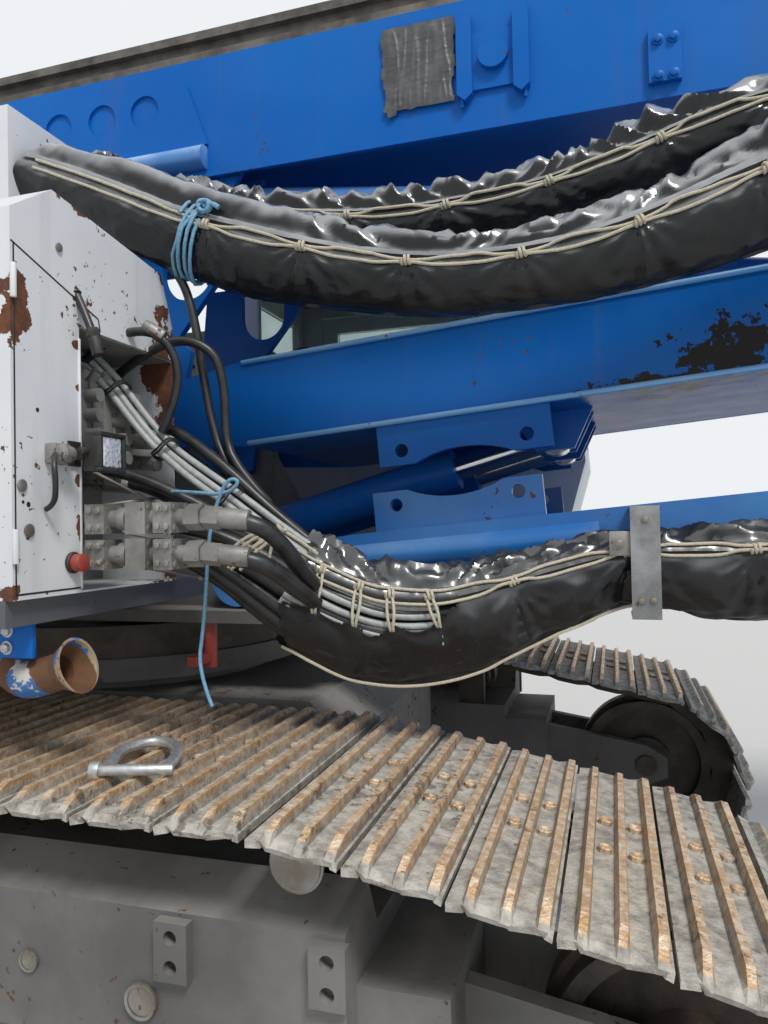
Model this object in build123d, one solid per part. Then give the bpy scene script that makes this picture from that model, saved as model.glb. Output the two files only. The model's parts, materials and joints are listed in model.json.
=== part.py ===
from build123d import *
import os
from math import atan2, cos, degrees, hypot, pi, radians, sin, tan

# Rotary drilling rig on tracks, parked with its mast laid back over the machine.
# Millimetres. +X is the front of the machine, +Y its left side, +Z up. The sizes are
# written from the slewing axis on the ground, and every piece is moved along X at the
# end, so that the origin lies on the ground under the middle of the machine's box.

# Fits
PIN_CLEARANCE = 0.1
SEAT_GAP = 0.3
LANE_GAP = 6.0

# Crawler
CRAWLER_WIDTH = 3000
SHOE_WIDTH = 900
SHOE_PITCH = 190
GROUSER_HEIGHT = 28
SHOE_THICKNESS = 16
PIN_TO_SHOE = 46
LINK_BELOW_PIN = 52
LINK_GAP = 80
LINK_RAIL_WIDTH = 45
TIP_TO_PIN = GROUSER_HEIGHT + SHOE_THICKNESS + PIN_TO_SHOE
CHAIN_DEPTH = TIP_TO_PIN + LINK_BELOW_PIN
TRACK_CENTRE_Y = (CRAWLER_WIDTH - SHOE_WIDTH) / 2
IDLER_AT = (2080, 470)
IDLER_TIP_RADIUS = 420
SPROCKET_AT = (-2050, 560)
SPROCKET_TIP_RADIUS = 455
ROLLER_TIP_RADIUS = 240
ROLLER_END_X = 1560
ROLLER_COUNT = 8
CARRIERS = ((1290, 1045), (-750, 1062))
CARRIER_TIP_RADIUS = 210
ROLLER_HALF_WIDTH = 120

# Side frames and centre frame
FRAME_INNER_Y = TRACK_CENTRE_Y - 250
FRAME_OUTER_Y = TRACK_CENTRE_Y + 350
FRAME_BOTTOM_Z = 380
FRAME_TOP_Z = 735
SHOULDER_TOP_Z = 850
FRAME_REAR_X = -1560
FRAME_FRONT_X = 1450
CENTRE_HALF_LENGTH = 1150
CENTRE_HALF_WIDTH = TRACK_CENTRE_Y - 490
CENTRE_TOP_Z = 1040
NECK_RADIUS = 585
SEAT_RADIUS = 720
SEAT_THICKNESS = 75
RING_SEAT_Z = 1160

# Slewing ring
RING_OUTER_RADIUS = 700
RING_SPLIT_RADIUS = 560
RING_INNER_RADIUS = 470
DECK_BOTTOM_Z = 1280

# Upper frame
FLANGE_THICKNESS = 40
FLANGE_HALF_WIDTH = 560
WEB_INNER_Y = 330
WEB_OUTER_Y = 395
WEB_TOP_Z = 1600
FRAME_NOSE_X = 1100
FRAME_TAIL_X = -3000
SIDE_DECK_BOTTOM_Z = 1380
SIDE_DECK_TOP_Z = 1440
SIDE_DECK_INNER_Y = 620
UPPER_HALF_WIDTH = 1450
SHEET = 5

# Linkage, as (x, z) of each pivot
LOWER_ARM_PIVOT = (750, 1420)
UPPER_ARM_PIVOT = (350, 1970)
ARM_REACH = (2800, 235)
MAST_PIVOT = (3600, 2700)
TILT_BARREL_PIN = (600, 2740)
TILT_ROD_PIN = (2950, 2420)
LUFF_BARREL_PIN = (250, 1450)
LUFF_LUG_ALONG = 1420
LUFF_LUG_BELOW = 215
LUFF_RANGE_DEG = 45
TILT_RANGE_DEG = 90

ARM_HALF_WIDTH = 500
ARM_PLATE = 15
UPPER_ARM_HALF_DEPTH = 143
LOWER_ARM_HALF_DEPTH = 108
ARM_END_CUT = 440
ARM_BOSS_RADIUS = 92
ARM_PIN_RADIUS = 50

CARRIER_INNER_Y = 205
CARRIER_OUTER_Y = 265
TILT_LANE_Y = 330
TILT_BARREL_RADIUS = 85
TILT_ROD_RADIUS = 48
TILT_EYE_HALF = 54
LUFF_LANE_Y = 200
LUFF_BARREL_RADIUS = 70
LUFF_ROD_RADIUS = 40
LUFF_EYE_HALF = 46
BARREL_START = 180

# Mast
MAST_HALF_WIDTH = 450
MAST_BOTTOM_Z = 2820
MAST_TOP_Z = 3240
MAST_PLATE = 15
MAST_TAIL_X = -7650
MAST_FRONT_X = 5850
RAIL_HEIGHT = 100
RAIL_WIDTH = 90
ROTARY_AXIS_Z = 3960
CARRIAGE_REAR_X = 2350
CARRIAGE_LENGTH = 1500
CROWD_UP = 4000
CROWD_DOWN = 1200
CROWD_BARREL_RADIUS = 75
CROWD_ROD_RADIUS = 45
MAST_PIN_RADIUS = 60
SLEEVE_RADIUS = 230
KELLY_RADIUS = 190
CRADLE_BAR_AT = (300, 2720)
CRADLE_BAR_RADIUS = 42
ARM_TOP_GAP = 7
DOUBLER_TOP_Z = MAST_TOP_Z - 70

# Cab
CAB_REAR_X = 150
CAB_FRONT_X = 1850
CAB_OUTER_Y = UPPER_HALF_WIDTH + 10
CAB_WIDTH = 800
CAB_INNER_Y = CAB_OUTER_Y - CAB_WIDTH
CAB_TOP_Z = 2950
CAB_WALL = 45
GLASS = 8
CAB_DOOR_REAR_X = 330
CAB_DOOR_FRONT_X = 1230
CAB_DOOR_BOTTOM_Z = 1500
CAB_DOOR_TOP_Z = 2830
DOOR_WINDOW = (CAB_DOOR_REAR_X + 90, CAB_DOOR_FRONT_X - 90, 2050, 2740)

# Engine house and boxes on the side decks
HOUSE_FRONT_X = -1560
HOUSE_REAR_X = -2990
HOUSE_TOP_Z = 2650
HOUSE_DOOR_THICKNESS = 40
HOUSE_DOOR_REAR_X = -2880
HOUSE_DOOR_FRONT_X = -1680
HOUSE_DOOR_BOTTOM_Z = 1520
HOUSE_DOOR_TOP_Z = 2540
DOOR_GAP = 6
HINGE_RADIUS = 12
HINGE_PIN_RADIUS = 6
HINGE_KNUCKLE = 60
HINGE_LEAF = 6
HINGE_LEAF_WIDTH = 55
HINGE_OUT = HINGE_RADIUS + 2
COUNTERWEIGHT_REAR_X = -3650
COUNTERWEIGHT_HALF_WIDTH = UPPER_HALF_WIDTH - 50
COUNTERWEIGHT_BOTTOM_Z = 1240
COUNTERWEIGHT_TOP_Z = 2240

# Manifold cabinet
CABINET_FRONT_X = 720
CABINET_REAR_X = -640
CABINET_INNER_Y = -UPPER_HALF_WIDTH + 632
CABINET_EDGE_Z = 2300
CABINET_RIDGE = (-UPPER_HALF_WIDTH + 130, 2390)
CABINET_BROW = (-UPPER_HALF_WIDTH + 574, 2330)
CABINET_BREAST_Z = 2184
RECESS_EDGE_Y = -UPPER_HALF_WIDTH + 220
RECESS_TOP_Z = 2090
PANEL_X = 470
PIPE_Y = -UPPER_HALF_WIDTH + 250
ELBOW_Y = -UPPER_HALF_WIDTH + 150
LAMP_AT = (RECESS_EDGE_Y - 10, 1775)

# Winches between the webs: drum x, drum z, flange radius, drum radius, half width
WINCHES = {
    "main": (-1050, 1960, 330, 230, 250),
    "aux": (-300, 1800, 230, 150, 200),
}
WINCH_SHAFT_RADIUS = 40

# Head sheaves: centre x, centre z, radius
SHEAVES = {"front": (MAST_TAIL_X + 500, ROTARY_AXIS_Z - 330, 330), "rear": (MAST_TAIL_X + 500, 2960, 260)}
SHEAVE_AXLE_RADIUS = 45

# Hinges of the doors, as (x, y of the wall) and the heights of each
HOUSE_HINGE = (HOUSE_DOOR_REAR_X - DOOR_GAP / 2, UPPER_HALF_WIDTH)
HOUSE_HINGE_Z = (HOUSE_DOOR_BOTTOM_Z + 160, HOUSE_DOOR_TOP_Z - 160)
CAB_HINGE = (CAB_DOOR_REAR_X - DOOR_GAP / 2, CAB_OUTER_Y)
CAB_HINGE_Z = (CAB_DOOR_BOTTOM_Z + 160, CAB_DOOR_TOP_Z - 160)

# Where the hose bundles end: post on the cabinet, saddle on the upper arm, plate on the lower
POST_FRONT_X = 285
POST_LENGTH = 250
POST_Y = (-UPPER_HALF_WIDTH + 460, -600)
POST_Z = (2570, 2850)
SADDLE_X = 2850
SADDLE_Z = (2470, 2600)
TERMINAL_X = 2750
TERMINAL_Z = 1490
END_PLATE = 14

# Centre lines of the hose bundles; each runs on into its end plates, where it is cut off
UPPER_BUNDLE = (
    (60, -895, 2756), (530, -880, 2563), (930, -850, 2420), (1400, -815, 2300), (1880, -785, 2300),
    (2330, -760, 2400), (2640, -745, 2462), (2960, -740, 2490),
)
MAST_BUNDLE = (
    (60, -715, 2800), (480, -690, 2640), (860, -660, 2520), (1240, -635, 2450), (1680, -622, 2440),
    (2080, -615, 2505), (2480, -610, 2590), (2960, -610, 2630),
)
LOWER_BUNDLE = (
    (300, PIPE_Y + 190, 1670), (640, PIPE_Y + 190, 1630), (880, PIPE_Y + 220, 1530), (1150, -890, 1370),
    (1450, -780, 1290),
    (1780, -700, 1395), (2080, -665, 1468), (2420, -650, 1490), (2900, -650, 1500),
)
BUNDLE_RADII = {"upper": 88, "mast": 75, "lower": 85}

ROW_SHIFT_X = -(MAST_TAIL_X + MAST_FRONT_X) / 2


def along(start, direction_deg, distance, offset=0.0):
    """Point at a distance along a direction in the XZ plane, offset to its upper side."""
    turn = radians(direction_deg)
    return (
        start[0] + distance * cos(turn) - offset * sin(turn),
        start[1] + distance * sin(turn) + offset * cos(turn),
    )


def lift_deg(start, end):
    """Angle above the +X direction of the line between two (x, z) points."""
    return degrees(atan2(end[1] - start[1], end[0] - start[0]))


def distance(start, end):
    return hypot(end[0] - start[0], end[1] - start[1])


ARM_LIFT_DEG = degrees(atan2(ARM_REACH[1], ARM_REACH[0]))
ARM_LENGTH = hypot(*ARM_REACH)
LOWER_HEAD_PIVOT = (LOWER_ARM_PIVOT[0] + ARM_REACH[0], LOWER_ARM_PIVOT[1] + ARM_REACH[1])
UPPER_HEAD_PIVOT = (UPPER_ARM_PIVOT[0] + ARM_REACH[0], UPPER_ARM_PIVOT[1] + ARM_REACH[1])
LUFF_ROD_PIN = along(UPPER_ARM_PIVOT, ARM_LIFT_DEG, LUFF_LUG_ALONG, -LUFF_LUG_BELOW)


def luff_cylinder_at(lift):
    """Angle and length of the luffing cylinders with the arms raised by lift degrees."""
    lug = along(UPPER_ARM_PIVOT, ARM_LIFT_DEG + lift, LUFF_LUG_ALONG, -LUFF_LUG_BELOW)
    return lift_deg(LUFF_BARREL_PIN, lug), distance(LUFF_BARREL_PIN, lug)


def tilt_cylinder_at(tilt):
    """Angle below +X and length of the mast cylinders, as the mast sees them, at a tilt."""
    turn = radians(tilt)
    dx = TILT_BARREL_PIN[0] - MAST_PIVOT[0]
    dz = TILT_BARREL_PIN[1] - MAST_PIVOT[1]
    pin = (
        MAST_PIVOT[0] + dx * cos(turn) + dz * sin(turn),
        MAST_PIVOT[1] - dx * sin(turn) + dz * cos(turn),
    )
    return -lift_deg(pin, TILT_ROD_PIN) - tilt, distance(pin, TILT_ROD_PIN)


def block(x0, x1, y0, y1, z0, z1):
    return Pos((x0 + x1) / 2, (y0 + y1) / 2, (z0 + z1) / 2) * Box(x1 - x0, y1 - y0, z1 - z0)


def plate_y(outline, y0, y1):
    """Plate with an outline of (x, z) points, from y0 to y1."""
    face = make_face(Polyline(*[(x, y0, z) for x, z in outline], close=True))
    return extrude(face, amount=y1 - y0, dir=(0, 1, 0))


def plate_x(outline, x0, x1):
    """Plate with an outline of (y, z) points, from x0 to x1."""
    face = make_face(Polyline(*[(x0, y, z) for y, z in outline], close=True))
    return extrude(face, amount=x1 - x0, dir=(1, 0, 0))


def plate_z(outline, z0, z1):
    """Plate with an outline of (x, y) points, from z0 to z1."""
    face = make_face(Polyline(*[(x, y, z0) for x, y in outline], close=True))
    return extrude(face, amount=z1 - z0, dir=(0, 0, 1))


def bar(start, end, radius):
    """Round bar between two points."""
    run = Vector(*end) - Vector(*start)
    return Part() + Solid.make_cylinder(radius, run.length, Plane(origin=start, z_dir=run))


def bar_y(at, radius, y0, y1):
    """Round bar across the machine at an (x, z) place."""
    return bar((at[0], y0, at[1]), (at[0], y1, at[1]), radius)


def ring_y(at, outer, inner, y0, y1):
    return bar_y(at, outer, y0, y1) - bar_y(at, inner, y0 - 1, y1 + 1)


def bar_x(y, z, radius, x0, x1):
    return bar((x0, y, z), (x1, y, z), radius)


def bar_z(x, y, radius, z0, z1):
    return bar((x, y, z0), (x, y, z1), radius)


def joined(shapes):
    whole = shapes[0]
    for shape in shapes[1:]:
        whole += shape
    return whole


def other_side(shape):
    return mirror(shape, about=Plane.XZ)


def both_sides(shape):
    return shape + other_side(shape)


def turned(shape, at, lift):
    """Shape drawn level from an (x, z) place, raised about it by lift degrees."""
    return Pos(at[0], 0, at[1]) * Rot(0, -lift, 0) * Pos(-at[0], 0, -at[1]) * shape


# Track: a belt round circles, met in order with the outside on the right hand

def belt_circles():
    """Centre x, centre z and tip radius of each wheel that the track goes round."""
    carriers = [(x, top - CARRIER_TIP_RADIUS, CARRIER_TIP_RADIUS) for x, top in CARRIERS]
    return [
        (-ROLLER_END_X, ROLLER_TIP_RADIUS, ROLLER_TIP_RADIUS),
        (ROLLER_END_X, ROLLER_TIP_RADIUS, ROLLER_TIP_RADIUS),
        (*IDLER_AT, IDLER_TIP_RADIUS),
        *carriers,
        (*SPROCKET_AT, SPROCKET_TIP_RADIUS),
    ]


def belt_runs(inset):
    """Straight runs and arcs of the belt line that lies inset inside the grouser tips."""
    wheels = [(x, z, tip - inset) for x, z, tip in belt_circles()]
    normals = []
    for (x0, z0, r0), (x1, z1, r1) in zip(wheels, wheels[1:] + wheels[:1]):
        length = hypot(x1 - x0, z1 - z0)
        ux, uz = (x1 - x0) / length, (z1 - z0) / length
        lean = (r0 - r1) / length
        side = (1 - lean * lean) ** 0.5
        normals.append((ux * lean + uz * side, uz * lean - ux * side))
    runs = []
    for index, (x, z, r) in enumerate(wheels):
        arriving = normals[index - 1]
        leaving = normals[index]
        first = atan2(arriving[1], arriving[0])
        sweep = (atan2(leaving[1], leaving[0]) - first) % (2 * pi)
        runs.append(("arc", (x, z), r, first, sweep))
        x1, z1, r1 = wheels[(index + 1) % len(wheels)]
        start = (x + r * leaving[0], z + r * leaving[1])
        end = (x1 + r1 * leaving[0], z1 + r1 * leaving[1])
        runs.append(("line", start, end))
    return runs


def run_length(run):
    return run[2] * run[4] if run[0] == "arc" else distance(run[1], run[2])


def belt_point(runs, along_belt):
    """Point of the belt line at a length along it."""
    for run in runs:
        length = run_length(run)
        if along_belt <= length:
            share = along_belt / length
            if run[0] == "arc":
                angle = run[3] + run[4] * share
                return (run[1][0] + run[2] * cos(angle), run[1][1] + run[2] * sin(angle))
            return tuple(a + (b - a) * share for a, b in zip(run[1], run[2]))
        along_belt -= length
    return belt_point(runs, along_belt)


def belt_outline(inset):
    """Smooth closed face edge of the belt line, of lines and arcs."""
    edges = []
    for run in belt_runs(inset):
        if run[0] == "line":
            edges.append(Line((run[1][0], 0, run[1][1]), (run[2][0], 0, run[2][1])))
            continue
        angles = [run[3] + run[4] * share for share in (0, 0.5, 1)]
        points = [(run[1][0] + run[2] * cos(a), 0, run[1][1] + run[2] * sin(a)) for a in angles]
        edges.append(ThreePointArc(*points))
    return make_face(edges)


def shoe_outline():
    """Outer edge of all the shoes: three grousers on each shoe, a valley after each."""
    pins = belt_runs(TIP_TO_PIN)
    total = sum(run_length(run) for run in pins)
    count = round(total / SHOE_PITCH)
    pitch = total / count
    tip = TIP_TO_PIN
    valley = TIP_TO_PIN - GROUSER_HEIGHT
    # Share of the pitch, then height above the pin line
    profile = ((0.06, tip), (0.16, tip), (0.28, valley))
    profile += ((0.40, tip), (0.50, tip), (0.62, valley))
    profile += ((0.74, tip), (0.84, tip), (0.95, valley))
    outline = []
    for index in range(count):
        start = belt_point(pins, index * pitch)
        end = belt_point(pins, (index + 1) * pitch - 0.001)
        chord = distance(start, end)
        ux, uz = (end[0] - start[0]) / chord, (end[1] - start[1]) / chord
        for share, height in profile:
            step = share * chord
            outline.append((start[0] + ux * step + uz * height, start[1] + uz * step - ux * height))
    return [(x, max(z, 0.0)) for x, z in outline]


def track():
    """Left track: the ring of shoes and two rails of links inside it."""
    y0 = TRACK_CENTRE_Y - SHOE_WIDTH / 2
    shoes = plate_y(shoe_outline(), y0, y0 + SHOE_WIDTH)
    inside = belt_outline(GROUSER_HEIGHT + SHOE_THICKNESS)
    shoes -= Pos(0, y0 - 1, 0) * extrude(inside, amount=SHOE_WIDTH + 2, dir=(0, 1, 0))
    rail = extrude(inside, amount=LINK_RAIL_WIDTH, dir=(0, 1, 0))
    rail -= extrude(belt_outline(CHAIN_DEPTH), amount=LINK_RAIL_WIDTH, dir=(0, 1, 0))
    near = TRACK_CENTRE_Y - LINK_GAP / 2 - LINK_RAIL_WIDTH
    far = TRACK_CENTRE_Y + LINK_GAP / 2
    return shoes + Pos(0, near, 0) * rail + Pos(0, far, 0) * rail


def roller(at, radius, half_width=ROLLER_HALF_WIDTH):
    """Flanged roller on its axle, running on both link rails."""
    y = TRACK_CENTRE_Y
    flange = LINK_GAP / 2 - 4
    body = bar_y(at, radius, y - half_width, y + half_width)
    body += bar_y(at, radius + 18, y - flange, y + flange)
    return body + bar_y(at, 32, y - half_width - 50, y + half_width + 50)


def track_rollers():
    """Bottom rollers in their blocks under the side frame, and carrier rollers above it."""
    radius = ROLLER_TIP_RADIUS - CHAIN_DEPTH - SEAT_GAP
    step = 2 * (ROLLER_END_X - 110) / (ROLLER_COUNT - 1)
    parts = []
    for index in range(ROLLER_COUNT):
        at = (-(ROLLER_END_X - 110) + index * step, ROLLER_TIP_RADIUS)
        whole = roller(at, radius)
        for y in (TRACK_CENTRE_Y - ROLLER_HALF_WIDTH - 45, TRACK_CENTRE_Y + ROLLER_HALF_WIDTH + 5):
            whole += block(at[0] - 70, at[0] + 70, y, y + 40, at[1] - 45, FRAME_BOTTOM_Z)
        parts.append(whole)
    for x, top in CARRIERS:
        at = (x, top - CARRIER_TIP_RADIUS)
        whole = roller(at, CARRIER_TIP_RADIUS - CHAIN_DEPTH - SEAT_GAP, 100)
        y = TRACK_CENTRE_Y - 190
        whole += bar_y(at, 40, y, TRACK_CENTRE_Y - 110)
        whole += block(x - 60, x + 60, y - 40, y, FRAME_TOP_Z, at[1] + 50)
        parts.append(whole)
    return joined(parts)


def idler():
    y = TRACK_CENTRE_Y
    radius = IDLER_TIP_RADIUS - CHAIN_DEPTH - SEAT_GAP
    wheel = bar_y(IDLER_AT, radius, y - 95, y + 95)
    for side in (-1, 1):
        y0, y1 = sorted((y + side * 40, y + side * 96))
        wheel -= ring_y(IDLER_AT, radius - 40, 110, y0, y1)
    wheel += bar_y(IDLER_AT, radius + 20, y - 34, y + 34)
    return wheel + bar_y(IDLER_AT, 45, y - 165, y + 165)


def sprocket():
    """Toothed drive wheel with its final drive housing."""
    y = TRACK_CENTRE_Y
    pin_radius = SPROCKET_TIP_RADIUS - TIP_TO_PIN
    teeth = round(2 * pi * pin_radius / SHOE_PITCH)
    outline = []
    # Turn within the tooth pitch, then radius from the pin circle
    profile = ((0.0, -50), (0.24, -46), (0.42, 4), (0.58, 4), (0.76, -46))
    for tooth in range(teeth):
        for share, rise in profile:
            angle = 2 * pi * (tooth + share) / teeth
            reach = pin_radius + rise
            outline.append((SPROCKET_AT[0] + reach * cos(angle), SPROCKET_AT[1] + reach * sin(angle)))
    wheel = plate_y(outline, y - 32, y + 32)
    wheel += bar_y(SPROCKET_AT, 235, y - 60, y + 60)
    wheel += bar_y(SPROCKET_AT, 205, FRAME_INNER_Y + 60, y - 60)
    return wheel + bar_y(SPROCKET_AT, 190, y + 60, y + 240) + bar_y(SPROCKET_AT, 110, y + 240, y + 275)


def side_frame():
    """Left side frame: box beam with a raised shoulder, idler fork and drive horn."""
    y0, y1 = FRAME_INNER_Y, FRAME_OUTER_Y
    z0, top = FRAME_BOTTOM_Z, FRAME_TOP_Z
    section = [(y0, z0), (y0, top), (y1 - 200, top), (y1 - 140, SHOULDER_TOP_Z)]
    section += [(y1, SHOULDER_TOP_Z - 50), (y1, z0 + 120), (y1 - 90, z0)]
    beam = plate_x(section, FRAME_REAR_X, FRAME_FRONT_X)
    nose = [(y0, z0), (y0, top - 60), (y1 - 60, top - 60), (y1 - 60, z0 + 120), (y1 - 140, z0)]
    beam += plate_x(nose, FRAME_FRONT_X, FRAME_FRONT_X + 190)
    fork = [(FRAME_FRONT_X + 190, z0 + 40), (FRAME_FRONT_X + 190, z0 + 250)]
    fork += [(IDLER_AT[0], IDLER_AT[1] + 90), (IDLER_AT[0] + 90, IDLER_AT[1] + 40)]
    fork += [(IDLER_AT[0] + 90, IDLER_AT[1] - 50), (IDLER_AT[0], IDLER_AT[1] - 90)]
    for side in (-1, 1):
        near, far = sorted((TRACK_CENTRE_Y + side * 105, TRACK_CENTRE_Y + side * 150))
        beam += plate_y(fork, near, far)
    beam -= bar_y(IDLER_AT, 45 + SEAT_GAP, TRACK_CENTRE_Y - 170, TRACK_CENTRE_Y + 170)
    horn = [(FRAME_REAR_X, z0), (FRAME_REAR_X, top), (SPROCKET_AT[0] - 90, top + 60)]
    horn += [(SPROCKET_AT[0] - 250, SPROCKET_AT[1] + 90), (SPROCKET_AT[0] - 250, SPROCKET_AT[1] - 90)]
    horn += [(SPROCKET_AT[0] - 90, SPROCKET_AT[1] - 240)]
    beam += plate_y(horn, y0, y0 + 60)
    for x in (-1100, -300, 1080, 1420):
        lug = block(x - 38, x + 38, y1, y1 + 26, 670, 790)
        for z in (700, 760):
            lug -= bar_y((x, z), 15, y1 - 1, y1 + 27)
        beam += lug
    return beam


def car_body():
    """Centre frame: a box under the slewing ring and two cross beams to the side frames."""
    body = block(
        -CENTRE_HALF_LENGTH, CENTRE_HALF_LENGTH, -CENTRE_HALF_WIDTH, CENTRE_HALF_WIDTH, 500, CENTRE_TOP_Z
    )
    body = chamfer(body.edges().filter_by(Axis.Y), 120)
    body += bar_z(0, 0, NECK_RADIUS, CENTRE_TOP_Z - 60, RING_SEAT_Z)
    body += bar_z(0, 0, SEAT_RADIUS, RING_SEAT_Z - SEAT_THICKNESS, RING_SEAT_Z)
    for x in (-800, 800):
        body += block(x - 190, x + 190, -FRAME_INNER_Y, FRAME_INNER_Y, 430, 850)
    return body - bar_z(0, 0, RING_INNER_RADIUS - 40, 700, RING_SEAT_Z + 1)


def slew_ring_outer():
    ring = bar_z(0, 0, RING_OUTER_RADIUS, RING_SEAT_Z, DECK_BOTTOM_Z - 12)
    return ring - bar_z(0, 0, RING_SPLIT_RADIUS + SEAT_GAP, RING_SEAT_Z - 1, DECK_BOTTOM_Z)


def slew_ring_inner():
    ring = bar_z(0, 0, RING_SPLIT_RADIUS, RING_SEAT_Z + 12, DECK_BOTTOM_Z)
    return ring - bar_z(0, 0, RING_INNER_RADIUS, RING_SEAT_Z, DECK_BOTTOM_Z + 1)


def upper_frame():
    """Bottom flange, two webs with the bearing eyes of both arms, and deck outriggers."""
    z0 = DECK_BOTTOM_Z + FLANGE_THICKNESS
    half = FLANGE_HALF_WIDTH
    frame = block(FRAME_TAIL_X, FRAME_NOSE_X, -half, half, DECK_BOTTOM_Z, z0)
    ax, az = LOWER_ARM_PIVOT
    bx, bz = UPPER_ARM_PIVOT
    web = [(FRAME_TAIL_X, z0), (FRAME_NOSE_X - 60, z0), (FRAME_NOSE_X - 80, z0 + 60)]
    web += [(ax + 150, az + 60), (ax + 60, az + 130), (ax - 60, az + 150)]
    web += [(bx + 150, bz - 60), (bx + 110, bz + 90), (bx + 30, bz + 130), (bx - 90, bz + 110)]
    web += [(bx - 560, WEB_TOP_Z + 120), (bx - 800, WEB_TOP_Z), (FRAME_TAIL_X, WEB_TOP_Z)]
    webs = plate_y(web, WEB_INNER_Y, WEB_OUTER_Y)
    for x in (-2600, -1700, -700, 300):
        webs += block(x - 15, x + 15, WEB_OUTER_Y, SIDE_DECK_INNER_Y, z0, SIDE_DECK_BOTTOM_Z + 40)
        webs += block(x - 15, x + 15, FLANGE_HALF_WIDTH, UPPER_HALF_WIDTH - 60, z0, SIDE_DECK_BOTTOM_Z)
    frame += both_sides(webs)
    frame += block(FRAME_TAIL_X, FRAME_TAIL_X + 40, -WEB_INNER_Y, WEB_INNER_Y, z0, WEB_TOP_Z)
    frame += block(FRAME_NOSE_X - 120, FRAME_NOSE_X - 90, -WEB_INNER_Y, WEB_INNER_Y, z0, z0 + 50)
    pins = (
        (LOWER_ARM_PIVOT, ARM_PIN_RADIUS),
        (UPPER_ARM_PIVOT, ARM_PIN_RADIUS),
        (LUFF_BARREL_PIN, LUFF_ROD_RADIUS),
    )
    for at, radius in pins:
        frame -= bar_y(at, radius + PIN_CLEARANCE, -half, half)
    return frame


def side_decks():
    """Channel decks that carry the cab, the tanks and the house."""
    y0, y1 = SIDE_DECK_INNER_Y, UPPER_HALF_WIDTH
    parts = []
    for side, front in ((1, CAB_FRONT_X + 30), (-1, CABINET_FRONT_X - 20)):
        near, far = sorted((side * y0, side * y1))
        deck = block(FRAME_TAIL_X + 20, front, near, far, SIDE_DECK_BOTTOM_Z, SIDE_DECK_TOP_Z)
        parts.append(deck)
    return joined(parts)


def counterweight():
    x0, x1 = COUNTERWEIGHT_REAR_X, FRAME_TAIL_X
    half, top = COUNTERWEIGHT_HALF_WIDTH, COUNTERWEIGHT_TOP_Z
    weight = block(x0, x1, -half, half, COUNTERWEIGHT_BOTTOM_Z, top)
    weight = fillet(weight.edges().filter_by(Axis.Z).sort_by(Axis.X)[:2], 260)
    weight = chamfer(weight.edges().group_by(Axis.Z)[-1].sort_by(Axis.X)[:3], 60)
    for y in (600 - half, half - 600):
        weight -= block(x0 - 1, x0 + 90, y - 110, y + 110, top - 140, top + 1)
    return weight


def house_shell(x0, x1, y0, y1, z0, z1):
    """Sheet box, open below."""
    shell = block(x0, x1, y0, y1, z0, z1)
    return shell - block(x0 + SHEET, x1 - SHEET, y0 + SHEET, y1 - SHEET, z0 - 1, z1 - SHEET)


def slots(centre, count_across, count_up, length, height, pitch_across, pitch_up, depth, across):
    """Obround ventilation slots in a grid, cut along X or Y."""
    cuts = []
    for i in range(count_across):
        for j in range(count_up):
            shift = (i - (count_across - 1) / 2) * pitch_across
            z = centre[2] + (j - (count_up - 1) / 2) * pitch_up
            slot = extrude(SlotOverall(length, height), amount=depth, both=True)
            if across == "x":
                cuts.append(Pos(centre[0] + shift, centre[1], z) * Rot(90, 0, 0) * slot)
            else:
                cuts.append(Pos(centre[0], centre[1] + shift, z) * Rot(0, 0, 90) * Rot(90, 0, 0) * slot)
    return cuts


def frame_knuckles(hinge, levels):
    """Lower half of each hinge, with its pin: leaf and knuckle on the frame's wall."""
    x, wall = hinge
    y = wall + HINGE_OUT
    parts = []
    for z in levels:
        knuckle = bar_z(x, y, HINGE_RADIUS, z - HINGE_KNUCKLE, z)
        knuckle += block(x - HINGE_LEAF_WIDTH, x, wall, wall + HINGE_LEAF, z - HINGE_KNUCKLE, z)
        parts.append(knuckle + bar_z(x, y, HINGE_PIN_RADIUS, z, z + HINGE_KNUCKLE))
    return joined(parts)


def door_knuckles(hinge, levels):
    """Upper half of each hinge, on the door, turning on the frame's pin."""
    x, wall = hinge
    y = wall + HINGE_OUT
    parts = []
    for z in levels:
        z0, z1 = z + SEAT_GAP, z + HINGE_KNUCKLE
        knuckle = bar_z(x, y, HINGE_RADIUS, z0, z1)
        knuckle += block(x, x + HINGE_LEAF_WIDTH, wall, wall + HINGE_LEAF, z0, z1)
        parts.append(knuckle - bar_z(x, y, HINGE_PIN_RADIUS + PIN_CLEARANCE, z0 - 1, z1 + 1))
    return joined(parts)


def engine_house():
    half = UPPER_HALF_WIDTH
    shell = house_shell(HOUSE_REAR_X, HOUSE_FRONT_X, -half, half, SIDE_DECK_TOP_Z, HOUSE_TOP_Z)
    shell -= block(HOUSE_FRONT_X - 50, HOUSE_FRONT_X + 1, -600, 600, SIDE_DECK_TOP_Z - 1, WEB_TOP_Z + 30)
    shell -= block(HOUSE_REAR_X - 1, HOUSE_REAR_X + 50, -600, 600, SIDE_DECK_TOP_Z - 1, WEB_TOP_Z + 30)
    shell -= house_door_block(DOOR_GAP)
    shell -= other_side(house_door_block(DOOR_GAP))
    shell += both_sides(frame_knuckles(HOUSE_HINGE, HOUSE_HINGE_Z))
    centre = ((HOUSE_FRONT_X + HOUSE_REAR_X) / 2, 0, HOUSE_TOP_Z)
    for i in range(6):
        x = centre[0] - 400 + i * 160
        shell -= block(x - 25, x + 25, -420, 420, HOUSE_TOP_Z - 20, HOUSE_TOP_Z + 1)
    return shell


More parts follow.
